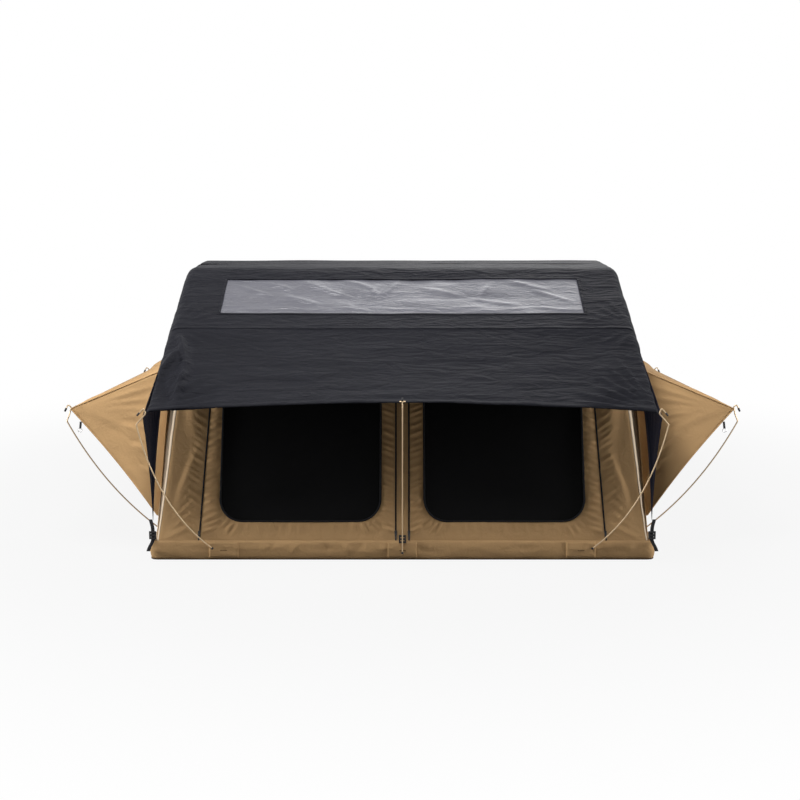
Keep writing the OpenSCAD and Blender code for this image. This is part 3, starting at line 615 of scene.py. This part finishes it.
def sideTrim(flat):  # unit square to the wall's outline, as distance from the hinge and height
    share, up = flat.T
    top = columns(*[np.interp(share, (0, 0.34, 1), roofLine[:, i]) for i in (0, 1)])
    top[:, 1] -= sideSet["below"]
    foot = columns(tent["seam"] + share * (-footY - sideSet["footIn"]), np.full(len(share), footZ))
    return foot + (top - foot) * up[:, None]


def onSide(right, side, lift=0.0):
    def place(flat):
        y, z = flat.T
        return columns(right * (bodyX(z) + lift), side * y, z)
    return place


def sideRelief(flat):
    lines = fan(*sideSet["tension"]) + fan(*sideSet["slack"])
    free = unit(flat[:, 0] / 0.1)
    return -0.003 + free * (creases(flat, lines) + ripples(flat, sideSet["swells"]))


for side, body, label in halves:
    for right, corner in flanks:
        name = label + "Side" + corner.title()
        opening = sideSet["window"]
        cloth = makeSheet(name, [(0, 1, 0, 1)], sideSet["cell"], onSide(right, side), relief=sideRelief,
                          openings=[opening], trim=sideTrim)
        dress(cloth, body, "tan_canvas", f"{label}_side_wall_{corner}")
        binding = bindWindows(name + "Binding", body, onSide(right, side, -0.002), [opening], 0.004)
        net = makeSheet(name + "Net", [netPatch(opening)], netSet["cell"][1], onSide(right, side, -0.006),
                        thick=netSet["thick"])
        dress(net, body, "mesh")
print("side walls")

# canvas roof under the fly, drawn a little smaller than the fly's round corners
roofSet = {"half": 1.0, "cell": 0.03, "below": 0.004, "slack": 0.035,
           "edgeFrom": 0.94, "edgeWidth": 0.06, "edgeDrop": 0.03}
roofPath = roundedPath([(tent["seam"], roofHigh.z), *roofLine[1:]], 0.04)
roofLength = pathStations(roofPath)[-1]


def onRoof(side):
    def place(flat):
        spots = along(roofPath, flat[:, 1])
        slope = unit((spots[:, 0] + tent["ridgeY"]) / (tent["ridgeY"] - headY))
        edge = unit((np.abs(flat[:, 0]) - roofSet["edgeFrom"]) / roofSet["edgeWidth"])
        drop = roofSet["edgeDrop"] * edge ** 2 + roofSet["slack"] * np.sin(pi * slope)
        return columns(flat[:, 0], side * spots[:, 0], spots[:, 1] - drop - roofSet["below"])
    return place


for side, body, label in halves:
    patch = (-roofSet["half"], roofSet["half"], 0, roofLength)
    roof = makeSheet(label + "RoofCanvas", [patch], roofSet["cell"], onRoof(side))
    dress(roof, body, "tan_canvas", label + "_roof")

# fly: one sheet per half over ridge and eave, with round shoulders and hanging sides
flySet = {
    "cell": {-1: 0.011, 1: 0.016}, "bend": 0.045, "droop": 0.045,
    "frontWidths": (1.068, 1.066, 1.076, 1.08), "frontRounds": (0.05, 0.05, 0.05, 0.008),
    "frontDrops": (0.12, 0.12, 0.13, 0.0),
    "rearWidths": (1.068, 1.07, 1.076, 1.084), "rearRounds": (0.05, 0.05, 0.05, 0.05),
    "rearDrops": (0.12, 0.12, 0.12, 0.1), "rearDrop": 0.33, "rearFlare": 0.006,
    "eaveOut": {-1: (0.0016, 0.0016), 1: (0.014, 0.011)},
    # loose fold at the awning's left corner, as distances past the eave
    "loose": (((-1.02, 0.02), (-0.94, 0.34), 0.018, 0.03), ((-0.95, 0.24), (-0.965, 0.58), 0.018, 0.028),
              ((-1.0, 0.14), (-1.075, 0.4), 0.016, 0.022), ((-1.07, 0.3), (-0.99, 0.6), 0.03, -0.02)),
    "swells": ((0.003, 0.5, 31),),
    "longSwells": ((0.006, 0.13, 23, (0.16, 1)), (0.0036, 0.05, 29, (0.12, 1))),
    "rearSwells": ((0.003, 0.5, 37), (0.002, 0.14, 41, (0.2, 1))),
}
eaves = {side: (-headY + out[0], headZ + out[1]) for side, out in flySet["eaveOut"].items()}
frontEdge = (-flyLow.y, 0.73)
rearEdge = (eaves[1][0] + wallUp[1] * flySet["rearDrop"] + flySet["rearFlare"],
            eaves[1][1] - wallUp[2] * flySet["rearDrop"])


def flyMaker(edge, label, side):
    corners = [(tent["seam"], flyHigh.z), (-tent["ridgeY"], flyHigh.z), eaves[side], edge]
    path = roundedPath(corners, flySet["bend"])
    stations = pathStations(path)
    knots = (0, stations[5], stations[14], stations[-1])  # the middles of the two bends
    widths, rounds, drops = [flySet[label + key] for key in ("Widths", "Rounds", "Drops")]

    def cutHalf(s):
        r = np.interp(s, knots, rounds)
        return np.interp(s, knots, widths) - r + r * pi / 2 + np.interp(s, knots, drops)

    def place(flat):
        cut, s = flat.T
        spots = along(path, s)
        width = np.interp(s, knots, widths)
        r = np.interp(s, knots, rounds)
        across = np.abs(cut)
        turn = np.clip((across - width + r) / r, 0, pi / 2)
        hang = np.maximum(across - width + r - r * pi / 2, 0)
        x = np.where(turn > 0, width - r + r * np.sin(turn), across) + 1.4 * tent["lean"] * hang
        awning = unit((s - knots[2]) / (knots[3] - knots[2])) * (side < 0)
        down = r * (1 - np.cos(turn)) + hang + flySet["droop"] * awning * (x / width) ** 2
        return columns(x * np.sign(cut), side * spots[:, 0], spots[:, 1] - down)
    return place, cutHalf, knots


def makeFly(label, cell, place, cutHalf, knots, relief, openings=()):
    widest = float(max(cutHalf(np.array(knots))))
    length = float(knots[3])

    def trim(flat):
        return columns(flat[:, 0] * cutHalf(flat[:, 1]) / widest, flat[:, 1])
    sheet = makeSheet(label + "FlySheet", [(-widest, widest, 0, length)], cell, place, relief=relief,
                      openings=openings, trim=trim)
    dress(sheet, label + "_base", "fly", label + "_fly")
    return sheet, (2 * widest, length)


frontFly, frontHalf, frontKnots = flyMaker(frontEdge, "front", -1)
rearFly, rearHalf, rearKnots = flyMaker(rearEdge, "rear", 1)
ridgeAt, eaveAt, edgeAt = frontKnots[1:]
flyPulls = (  # from the awning's corners, then down and up from the eave's corners
    (6, (1.08, edgeAt), (0, 0), (0.66, edgeAt - 0.05), (0.055, -0.075), 0.012, 0.0085),
    (5, (1.07, eaveAt - 0.01), (0, 0), (0.55, eaveAt + 0.03), (0.1, 0.04), 0.012, 0.0045),
    (5, (1.06, eaveAt - 0.02), (0, 0), (0.72, eaveAt - 0.05), (0.06, -0.06), 0.012, 0.0045),
)


def flyRelief(flat):
    x, s = flat.T
    middle = unit(1 - (x / 1.02) ** 2)
    slope = unit((s - ridgeAt) / (eaveAt - ridgeAt))
    awning = unit((s - eaveAt) / (edgeAt - eaveAt))
    sag = 0.006 * np.sin(pi * slope) + 0.016 * np.sin(pi * awning)
    lines = [((x0, eaveAt + s0), (x1, eaveAt + s1), width, rise)
             for (x0, s0), (x1, s1), width, rise in flySet["loose"]]
    for side in (-1, 1):
        for pull in flyPulls:
            lines += fan(*pull, side)
    long = ripples(flat, flySet["longSwells"]) * (0.35 + 0.65 * awning)
    return creases(flat, lines) - sag * middle + ripples(flat, flySet["swells"]) + long


def rearRelief(flat):
    lift = 0.004 * unit(flat[:, 1] / 0.3)
    return lift + ripples(flat, flySet["rearSwells"])


skySet = {
    "half": 0.85, "from": 0.115, "length": 0.33, "hem": 0.004, "cell": 0.009,
    "folds": (  # start across and down, end across and down
        (-0.83, 0.1, -0.6, 0.55), (-0.72, 0.0, -0.46, 0.42), (-0.62, 0.4, -0.36, 0.8),
        (-0.5, 0.05, -0.2, 0.62), (-0.3, 0.0, -0.12, 0.28), (-0.1, 0.08, -0.2, 0.8), (0.0, 0.0, -0.13, 0.62),
        (0.04, 0.2, 0.32, 0.5), (0.3, 0.55, 0.58, 0.78), (0.44, 0.04, 0.35, 0.66), (0.48, 0.0, 0.74, 0.36),
        (0.6, 0.25, 0.82, 0.7)),
    "swells": ((0.004, 0.16, 43, (0.5, 1)),),
}
half, length, hem = [skySet[key] for key in ("half", "length", "hem")]
skyFrom = ridgeAt + skySet["from"]
skyTo = skyFrom + length
skyHole = (0, (skyFrom + skyTo) / 2, 2 * half, length, 0.004)
frontSheet, frontFlat = makeFly("front", flySet["cell"][-1], frontFly, frontHalf, frontKnots,
                                flyRelief, [skyHole])
rearSheet, rearFlat = makeFly("rear", flySet["cell"][1], rearFly, rearHalf, rearKnots, rearRelief)


def skyRelief(flat):
    lines = [((x0, skyFrom + down0 * length), (x1, skyFrom + down1 * length), 0.016, 0.0055)
             for x0, down0, x1, down1 in skySet["folds"]]
    for k in range(17):  # fine slack above the lower edge
        x = -0.8 + 0.1 * k
        lines.append(((x - 0.1, skyTo - 0.03 - 0.012 * (k % 4)), (x + 0.12, skyTo - 0.02 - 0.02 * (k % 3)),
                      0.008, 0.003))
    return creases(flat, lines) + ripples(flat, skySet["swells"]) + flyRelief(flat) - 0.002


skyPatch = (-half - hem, half + hem, skyFrom - hem, skyTo + hem)
pane = makeSheet("skylightPane", [skyPatch], skySet["cell"], frontFly, relief=skyRelief, thick=0.001)
dress(pane, "front_base", "skylight", "skylight")

tapeSet = {"width": 0.014, "lift": 0.0016, "cell": 0.011, "hem": 0.026}
tape = tapeSet["width"]
tapes = [  # round the skylight, along the eave and along the awning's edge
    (-half - tape, half + tape, skyFrom - tape, skyFrom), (-half - tape, half + tape, skyTo, skyTo + tape),
    (-half - tape, -half, skyFrom, skyTo), (half, half + tape, skyFrom, skyTo),
    (-1.06, 1.06, eaveAt - tape, eaveAt + tape * 0.4), (-1.07, 1.07, edgeAt - tapeSet["hem"], edgeAt - 0.001),
]
flyTapes = makeSheet("flySeamTapes", tapes, tapeSet["cell"], frontFly, relief=flyRelief, lift=tapeSet["lift"],
                     thick=0.001)
dress(flyTapes, "front_base", "fly")
print("fly and skylight")

# dark cheeks between the awning's ends and the corner straps
cheekSet = {
    "head": (1.0573, -0.7962, 0.9594), "corner": (1.098, -1.346, 0.668), "foot": (1.094, -1.2053, 0.172),
    "innerBow": (0, -0.1, 0), "outerBow": (0, 0.03, 0), "cell": 0.025, "flat": (0.36, 0.89),
    "pulls": (5, (0.15, 0.02), (0.2, 0), (0.5, 0.95), (0, 0), 0.05, 0.008),
}


def onCheek(right):
    head, tip, foot, innerBow, outerBow = [np.array(cheekSet[key]) for key in
                                           ("head", "corner", "foot", "innerBow", "outerBow")]

    def place(flat):
        down = np.clip(flat[:, 1:], 0, 0.985)
        inner = head + (foot - head) * down + innerBow * np.sin(pi * down)
        outer = tip + (foot - tip) * down + outerBow * np.sin(pi * down)
        return (inner + (outer - inner) * flat[:, :1]) * (right, 1, 1)
    return place


def cheekRelief(flat):
    return creases(flat, fan(*cheekSet["pulls"])) * hump(flat[:, 0])


for right, corner in flanks:
    cheek = makeSheet("awningCheek" + corner.title(), [(0, 1, 0, 1)], cheekSet["cell"], onCheek(right),
                      relief=cheekRelief, thick=0.001)
    dress(cheek, "front_base", "navy", "awning_gusset_" + corner)

# side hoods: half a top panel and one cheek in one cloth, folded at the corner
hoodSet = {
    "seamZ": 0.8, "tip": (1.497, 0.95), "tipZ": {-1: 0.63, 1: 0.51}, "footZ": 0.17, "off": -0.002,
    "cell": 0.011,
    "runs": (0.95, 0.8),  # cut lengths of the top panel and of the cheek, along the fold's two sides
    "depth": 0.46, "flatDepth": 0.6, "bow": (-0.0096, 0, 0.0072),
}
hoodFold, hoodLength = hoodSet["runs"][0], sum(hoodSet["runs"])


def hoodEdge(z):  # on the side, where the wall's round corner ends
    corner = bandY[-1] * cornerRound((z - footZ) / wallUp[2])
    return np.array((bodyX(z) + hoodSet["off"], -wallY(z) - corner, z))


def hoodLines(side):  # inner and outer edge of one half, from the middle to the foot
    top, foot = hoodEdge(hoodSet["seamZ"]), hoodEdge(hoodSet["footZ"])
    tip = np.array((*hoodSet["tip"], hoodSet["tipZ"][side]))
    middle = (tip[0], tent["seam"], sum(hoodSet["tipZ"].values()) / 2)
    return np.array([(top[0], tent["seam"], top[2]), top, foot]), np.array([middle, tip, foot])


def onHood(right, side):
    def place(flat):
        share = np.interp(flat[:, 0], (0, hoodFold, hoodLength), (0, 1, 1.985))
        inner, outer = [columns(*[np.interp(share, (0, 1, 2), row[:, i]) for i in range(3)])
                        for row in hoodLines(side)]
        bow = hump(share - 1)[:, None] * hoodSet["bow"]
        return (inner + (outer + bow - inner) * flat[:, 1:] / hoodSet["depth"]) * (right, side, 1)
    return place


def hoodRelief(seed):
    def relief(flat):
        lines = []
        for k in range(8):  # pull from the rod's corner over the cheek
            end = (hoodFold + 0.08 + 0.085 * k, 0.02 + 0.01 * (k % 3))
            lines.append(((hoodFold + 0.02, 0.45), end, 0.014, 0.0055))
        for k in range(9):  # short slack folds in the middle of the cheek
            x, rise = hoodFold + 0.12 + 0.045 * k, 0.0065 * sin(2.1 * k + seed)
            lines.append(((x, 0.33 - 0.02 * (k % 3)), (x + 0.1, 0.16 + 0.02 * (k % 4)), 0.012, rise))
        pull = (6, (hoodFold - 0.02, 0.44), (0, 0), (0.15, 0.05), (0.12, 0.05), 0.016, 0.0045)
        lines += fan(*pull)  # along the top panel
        top = unit(1 - flat[:, 0] / hoodFold)
        sag = 0.02 * hump(flat[:, 1] / hoodSet["depth"]) * np.sqrt(top)
        return creases(flat, lines) - sag + 0.003 * swell(flat, 0.22, 50 + seed)
    return relief


ringSet = {"along": 0.12, "toggle": 0.03, "ring": 0.009, "tab": (0.05, 0.12)}
turns = np.linspace(0, tau, 24, endpoint=False)
for side, _, label in halves:
    for right, corner in flanks:
        body = f"hood_{label}_{corner}"
        name = label + "Hood" + corner.title()
        flip = (right, side, 1)
        cloth = makeSheet(name, [(0, hoodLength, 0, hoodSet["depth"])], hoodSet["cell"], onHood(right, side),
                          relief=hoodRelief(side + 2 * right))
        dress(cloth, body, "tan_canvas", body)
        (_, top, foot), (middle, tip, _) = hoodLines(side)
        rim = [middle, tip]
        lower = [tip + (foot - tip) * t + sin(pi * t) * np.array(hoodSet["bow"])
                 for t in np.linspace(0, 0.98, 14)]
        fold = [top + (tip - top) * t for t in np.linspace(0, 1, 8)]
        runs = [(np.array(run) * flip, False) for run in (rim, lower, fold)]
        piping = dress(makeTube(name + "Piping", runs, 0.0026), body, "tan_canvas")
        hang = tip + (foot - tip) * ringSet["along"]
        peg = [hang + (0, 0.004, 0), hang + (0.004, 0.004, -ringSet["toggle"])]
        tab = [top + (tip - top) * t + (0, 0.008, -0.012) for t in ringSet["tab"]]
        runs = [(np.array(run) * flip, False) for run in (peg, tab)]
        toggle = dress(makeTube(name + "Toggle", runs, 0.005), body, "black_plastic")
        eye = peg[1] + (0.001, 0, -ringSet["ring"])
        loop = [eye + ringSet["ring"] * np.array((cos(a), 0, sin(a))) for a in turns]
        ring = dress(makeTube(name + "Ring", [(np.array(loop) * flip, True)], 0.0016), body, "steel")
print("hoods")

# skirt round the floor, with a brown bound edge and pockets where the rods go in
skirtSet = {"out": 0.006, "corner": 0.032, "bulge": 0.009, "cell": 0.01,
            "foot": 0.003, "top": 0.088, "edgeSteps": 260,
            "swells": ((0.004, 0.25, 61, (1, 0.4)),)}
skirtX, skirtY = skirtHigh.x + skirtSet["out"], skirtSet["out"] - skirtLow.y
skirtCorners = [(-skirtX, 0.002), (-skirtX, skirtY), (skirtX, skirtY), (skirtX, 0.002)]
skirtPath = roundedPath(skirtCorners, skirtSet["corner"])
skirtLength = pathStations(skirtPath)[-1]
skirtHeight = skirtSet["top"] - skirtSet["foot"]


def onSkirt(side, lift=0.0):
    def place(flat):
        distance = flat[:, 0] + skirtLength / 2
        spots = along(skirtPath, distance)
        ahead = along(skirtPath, distance + 0.004) - along(skirtPath, distance - 0.004)
        length = np.maximum(np.linalg.norm(ahead, axis=1), 1e-9)[:, None]
        out = columns(-ahead[:, 1], ahead[:, 0]) / length
        share = (flat[:, 1] - skirtSet["foot"]) / skirtHeight
        belly = skirtSet["bulge"] * (hump(share) ** 0.6 - 0.4) + lift
        spots = spots + out * belly[:, None]
        return columns(spots[:, 0], side * spots[:, 1], flat[:, 1])
    return place


def skirtRelief(flat):
    lines = []
    for k in range(46):  # one fold down and one along
        x = -2.2 + 0.097 * k + 0.02 * sin(3.3 * k)
        lines.append(((x, skirtSet["top"]), (x + 0.07 * sin(1.7 * k), 0.03), 0.012, 0.006 * sin(2.9 * k)))
        lines.append(((x, 0.055), (x + 0.16, 0.05 + 0.02 * sin(2.1 * k)), 0.007, 0.005 * sin(1.3 * k)))
    return creases(flat, lines) + ripples(flat, skirtSet["swells"])


pocketSet = {"places": (-0.785, 0.0, 0.785), "pocket": (0.13, 0.014, 0.082), "slit": (0.03, 0.045, 0.0468)}


def onPockets(name, key, cell, lift, thick, look=None):  # one patch at each rod; width, foot and head
    w, foot, head = pocketSet[key]
    patches = [(x - w / 2, x + w / 2, foot, head) for x in pocketSet["places"]]
    patch = makeSheet(name, patches, cell, onSkirt(-1), relief=skirtRelief, lift=lift, thick=thick)
    return dress(patch, "front_base", "tan_canvas", look=look, soft=False)


for side, body, label in halves:
    band = (-skirtLength / 2, skirtLength / 2, skirtSet["foot"], skirtSet["top"])
    skirt = makeSheet(label + "Skirt", [band], skirtSet["cell"], onSkirt(side), relief=skirtRelief,
                      thick=0.002)
    dress(skirt, body, "tan_canvas", label + "_skirt", soft=False)
    run = np.linspace(-skirtLength / 2, skirtLength / 2, skirtSet["edgeSteps"])
    foot = onSkirt(side, 0.001)(columns(run, np.full(len(run), skirtSet["foot"] + 0.002)))
    edge = makeTube(label + "SkirtEdge", [(foot, False)], 0.003)
    trims = [dress(edge, body, "tan_canvas", look="brown", soft=False)]
    if side < 0:
        trims.append(onPockets("rodPockets", "pocket", 0.008, 0.003, 0.0015))
        # painted shade: a thin dark brown strip over each pocket stands in for the shaded opening of its slit
        trims.append(onPockets("pocketSlitShade", "slit", 0.006, 0.0042, 0.001, "brown"))
print("skirt")

# mattress halves under the roof
mattressSet = {"cuts": 26, "crown": 0.006, "pull": 0.012, "channel": 0.26}
for label in ("front", "rear"):
    low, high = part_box(label + "_mattress")
    size = high - low
    centre = (low + high) / 2
    bm = bmesh.new()
    bmesh.ops.create_cube(bm, size=2)
    bmesh.ops.subdivide_edges(bm, edges=bm.edges[:], cuts=mattressSet["cuts"], use_grid_fill=True)
    for vert in bm.verts:
        x, y, z = vert.co
        edge = max(abs(x), abs(y)) ** 14
        draw = 1 - mattressSet["pull"] * (1 - min(1, (x * y) ** 2)) * (1 - z * z) * edge
        seam = cos(pi * x * size.x / 2 / mattressSet["channel"]) ** 16
        top = size.z / 2 * (1 - 0.16 * edge) - mattressSet["crown"] * seam * (z > 0)
        vert.co = (centre.x + x * draw * size.x / 2, centre.y + y * draw * size.y / 2,
                   centre.z + (top * z if z > 0 else z * size.z / 2))
    pad = finishMesh(label + "MattressPad", bm)
    dress(pad, label + "_base", "foam", label + "_mattress", soft=False)

# spring rods with ball feet, bent hooks and black caps
rodSet = {
    "radius": 0.003, "steps": 26, "ball": 0.006, "foot": 0.055, "middleFoot": 0.035,
    "face": 0.0148,  # from the frame's face to the middle of the ball feet
    "cap": 0.0048, "capLength": 0.016,
    "awningY": -1.357, "awningHook": ((1.081, 0.684), (1.09, 0.706), (1.117, 0.677)),
    "hoodY": -0.957, "hoodHook": ((1.5, -0.023), (1.492, 0.01), (1.506, 0.02), (1.52, -0.008)),
    "cross": 0.013, "crossZ": 0.735,
}
frameLow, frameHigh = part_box("front_frame")
socketX, socketY = frameHigh.x + rodSet["face"], frameLow.y - rodSet["face"]
awningY, hoodY = rodSet["awningY"], rodSet["hoodY"]


def bendRod(foot, middle, shoulder, hook):
    foot, middle, shoulder = [np.array(p, float) for p in (foot, middle, shoulder)]
    line = [(1 - t) ** 2 * foot + 2 * t * (1 - t) * middle + t * t * shoulder
            for t in np.linspace(0, 1, rodSet["steps"])]
    tail = roundedPath([line[-2], shoulder, *hook], 0.007)
    return np.array(line[:-2] + list(tail))


def hoodRod(tipZ):
    return bendRod((socketX, -0.9, rodSet["foot"]), (1.359, -0.93, 0.255), (1.514, hoodY, tipZ - 0.055),
                   [(x, hoodY, tipZ + up) for x, up in rodSet["hoodHook"]])


awningRod = bendRod((0.835, socketY, rodSet["foot"]), (1.055, -1.2859, 0.25), (1.123, awningY, 0.637),
                    [(x, awningY, z) for x, z in rodSet["awningHook"]])
rodPlans = {}
for right, corner in flanks:
    rodPlans["awning_rod_" + corner] = awningRod * (right, 1, 1)
    for side, _, label in halves:
        rodPlans[f"hood_rod_{label}_{corner}"] = hoodRod(hoodSet["tipZ"][side]) * (right, -side, 1)
rodPlans["awning_rod_middle"] = bendRod(
    (0, socketY, rodSet["middleFoot"]), (0, -1.2859, 0.3725), (0, awningY, 0.71),
    [(0, awningY, rodSet["crossZ"]), (0, -1.352, 0.748)])
for node, line in rodPlans.items():
    rod = makeTube(node + ".bent", [(line, False)], rodSet["radius"], 4)
    dress(rod, node, "spring_steel", node, soft=False)
    bm = bmesh.new()
    ball = bmesh.ops.create_uvsphere(bm, u_segments=20, v_segments=12, radius=rodSet["ball"])["verts"]
    bmesh.ops.translate(bm, verts=ball, vec=line[0])
    run = Vector(line[-1] - line[-2]).normalized()
    cap = bmesh.ops.create_cone(bm, cap_ends=True, segments=20, radius1=rodSet["cap"],
                                radius2=rodSet["cap"] * 0.86, depth=rodSet["capLength"])["verts"]
    spot = Matrix.Translation(Vector(line[-1]) - run * rodSet["capLength"] * 0.3)
    bmesh.ops.transform(bm, verts=cap, matrix=spot @ run.to_track_quat("Z", "Y").to_matrix().to_4x4())
    dress(finishMesh(node + ".ends", bm), node, "black_plastic", soft=False)
crossEnds = np.array([(side * rodSet["cross"], awningY, rodSet["crossZ"]) for side in (-1, 1)])
crossBar = makeTube("middleRodCross", [(crossEnds, False)], rodSet["radius"])
dress(crossBar, "awning_rod_middle", "spring_steel", soft=False)
print("rods")

# corner straps, buckles and strap tails
strapSet = {
    "x": 1.094, "y": -1.2165, "w": 0.016, "cell": 0.006,
    # outward, along y and up, from the cheek's foot down to the loose tail
    "course": ((0.012, -1.199, 0.182), (0.0, -1.2165, 0.15), (0.0, -1.2165, 0.09),
               (0.016, -1.2245, 0.062), (0.021, -1.2265, 0.045)),
}
buckleSet = {"bars": (0.0, 0.007, 0.025, 0.032), "rows": (0.0, 0.008, 0.013, 0.022, 0.027, 0.036),
             "cornerZ": 0.098, "middleZ": 0.08}


def makeBuckle(name, places):
    bars, rows = buckleSet["bars"], buckleSet["rows"]
    across, up = len(bars) - 1, len(rows) - 1
    bm = bmesh.new()
    for x, y, z in places:
        grid = bmesh.ops.create_grid(bm, x_segments=across, y_segments=up, size=0.5)["verts"]
        for vert in grid:
            column, row = round((vert.co.x + 0.5) * across), round((vert.co.y + 0.5) * up)
            vert.co = (x + bars[column] - bars[-1] / 2, y, z + rows[row])
    slotMiddles = [Vector((x, y, z + (rows[k] + rows[k + 1]) / 2)) for x, y, z in places for k in (1, 3)]
    slots = [face for face in bm.faces
             if any((face.calc_center_median() - spot).length < 0.001 for spot in slotMiddles)]
    bmesh.ops.delete(bm, geom=slots, context="FACES")
    obj = thicken(finishMesh(name, bm, smooth=False), 0.006, 0)
    softEdge = obj.modifiers.new("softEdge", "BEVEL")
    softEdge.width = 0.0013
    softEdge.segments = 2
    return obj


strapX, strapY, strapW = [strapSet[key] for key in ("x", "y", "w")]
strapPaths = {right: roundedPath([(x * right, y, z) for x, y, z in strapSet["course"]], 0.012)
              + (right * strapX, 0, 0) for right in (-1, 1)}


def onStrap(flat):
    points = np.zeros((len(flat), 3))
    for right, spine in strapPaths.items():
        mine = np.sign(flat[:, 0]) == right
        points[mine] = along(spine, flat[mine, 1])
        points[mine, 0] += flat[mine, 0] - right * strapX
    return points


strapLength = pathStations(strapPaths[-1])[-1]
strapPatches = [(right * strapX - strapW / 2, right * strapX + strapW / 2, 0, strapLength)
                for right in strapPaths]
straps = makeSheet("cornerStraps", strapPatches, strapSet["cell"], onStrap, thick=0.0018)
dress(straps, "front_base", "webbing", "corner_straps", soft=False)
cornerPlaces = [(right * strapX, strapY - 0.003, buckleSet["cornerZ"]) for right in (-1, 1)]
dress(makeBuckle("cornerBuckles", cornerPlaces), "front_base", "black_plastic", "corner_buckles", soft=False)
middlePlaces = [(0, strapY - 0.002, buckleSet["middleZ"])]
dress(makeBuckle("middleBuckle", middlePlaces), "front_base", "black_plastic", "middle_buckle", soft=False)
print("straps and buckles")

# pale floor and soft light
stageSet = {"floorHalf": 60.0, "floorShade": 0.18, "whiteShare": 0.9,
            "fade": (1.7, 4.0), "worldLight": 0.05}


def seenDirectly(tree):  # by the camera, in a reflection or through glass
    rays = addNode(tree, "LightPath").outputs
    seen = rays["Is Camera Ray"]
    for ray in ("Is Glossy Ray", "Is Transmission Ray"):
        seen = addNode(tree, "Math", seen, rays[ray], operation="MAXIMUM").outputs["Value"]
    return seen


bm = bmesh.new()
bmesh.ops.create_grid(bm, x_segments=2, y_segments=2, size=stageSet["floorHalf"])
bmesh.ops.translate(bm, verts=bm.verts, vec=(0, 0, -0.0015))
floor = finishMesh("paleFloor", bm)
floorFinish, tree, shader, spot = startFinish("paleFloor", (stageSet["floorShade"],) * 3, 0.9)
reach = addNode(tree, "VectorMath", operation="LENGTH", Vector=spot["Object"])
fade = addNode(tree, "MapRange", interpolation_type="SMOOTHSTEP", Value=reach.outputs["Value"])
for key, value in zip(("From Min", "From Max", "To Min"), (*stageSet["fade"], stageSet["whiteShare"])):
    fade.inputs[key].default_value = value  # pure white away from the tent
share = addNode(tree, "Math", seenDirectly(tree), fade.outputs["Result"], operation="MULTIPLY")
white = addNode(tree, "Emission", Strength=1.0)
mix = addNode(tree, "MixShader", share.outputs["Value"], shader.outputs["BSDF"], white.outputs["Emission"])
tree.links.new(mix.outputs["Shader"], tree.nodes["Material Output"].inputs["Surface"])
floor.data.materials.append(floorFinish)

world = bpy.data.worlds.new("studio")
bpy.context.scene.world = world
world.use_nodes = True
tree = world.node_tree
lightGround = tree.nodes["Background"]
lightGround.inputs["Color"].default_value = (1, 1, 1, 1)
lightGround.inputs["Strength"].default_value = stageSet["worldLight"]
seenGround = addNode(tree, "Background", Color=(1, 1, 1, 1), Strength=1.0)
grounds = [ground.outputs["Background"] for ground in (lightGround, seenGround)]
mix = addNode(tree, "MixShader", seenDirectly(tree), *grounds)
tree.links.new(mix.outputs["Shader"], tree.nodes["World Output"].inputs["Surface"])

lampSet = {
    "key": {"place": (-1.1, -2.1, 5.0), "aim": (0, -0.6, 0.5), "size": 2.4, "power": 345},
    "left": {"place": (-6.0, -1.75, 0.95), "aim": (-1.0, -1.1, 0.5), "size": 1.2, "power": 270},
    "right": {"place": (6.0, -1.75, 0.95), "aim": (1.0, -1.1, 0.5), "size": 1.2, "power": 255},
    "front": {"place": (-2.5, -7.0, 1.2), "aim": (0, -1.0, 0.4), "size": 2.0, "power": 5},
    "back": {"place": (1.5, 5.5, 4.5), "aim": (0, 0, 0.6), "size": 4.0, "power": 150},
}
for name, lamp in lampSet.items():
    data = bpy.data.lights.new(name, "AREA")
    data.size = lamp["size"]
    data.energy = lamp["power"]
    light = bpy.data.objects.new(name, data)
    light.location = lamp["place"]
    aim = Vector(lamp["aim"]) - Vector(lamp["place"])
    light.rotation_euler = aim.to_track_quat("-Z", "Y").to_euler()
    bpy.context.scene.collection.objects.link(light)
print("stage and light")
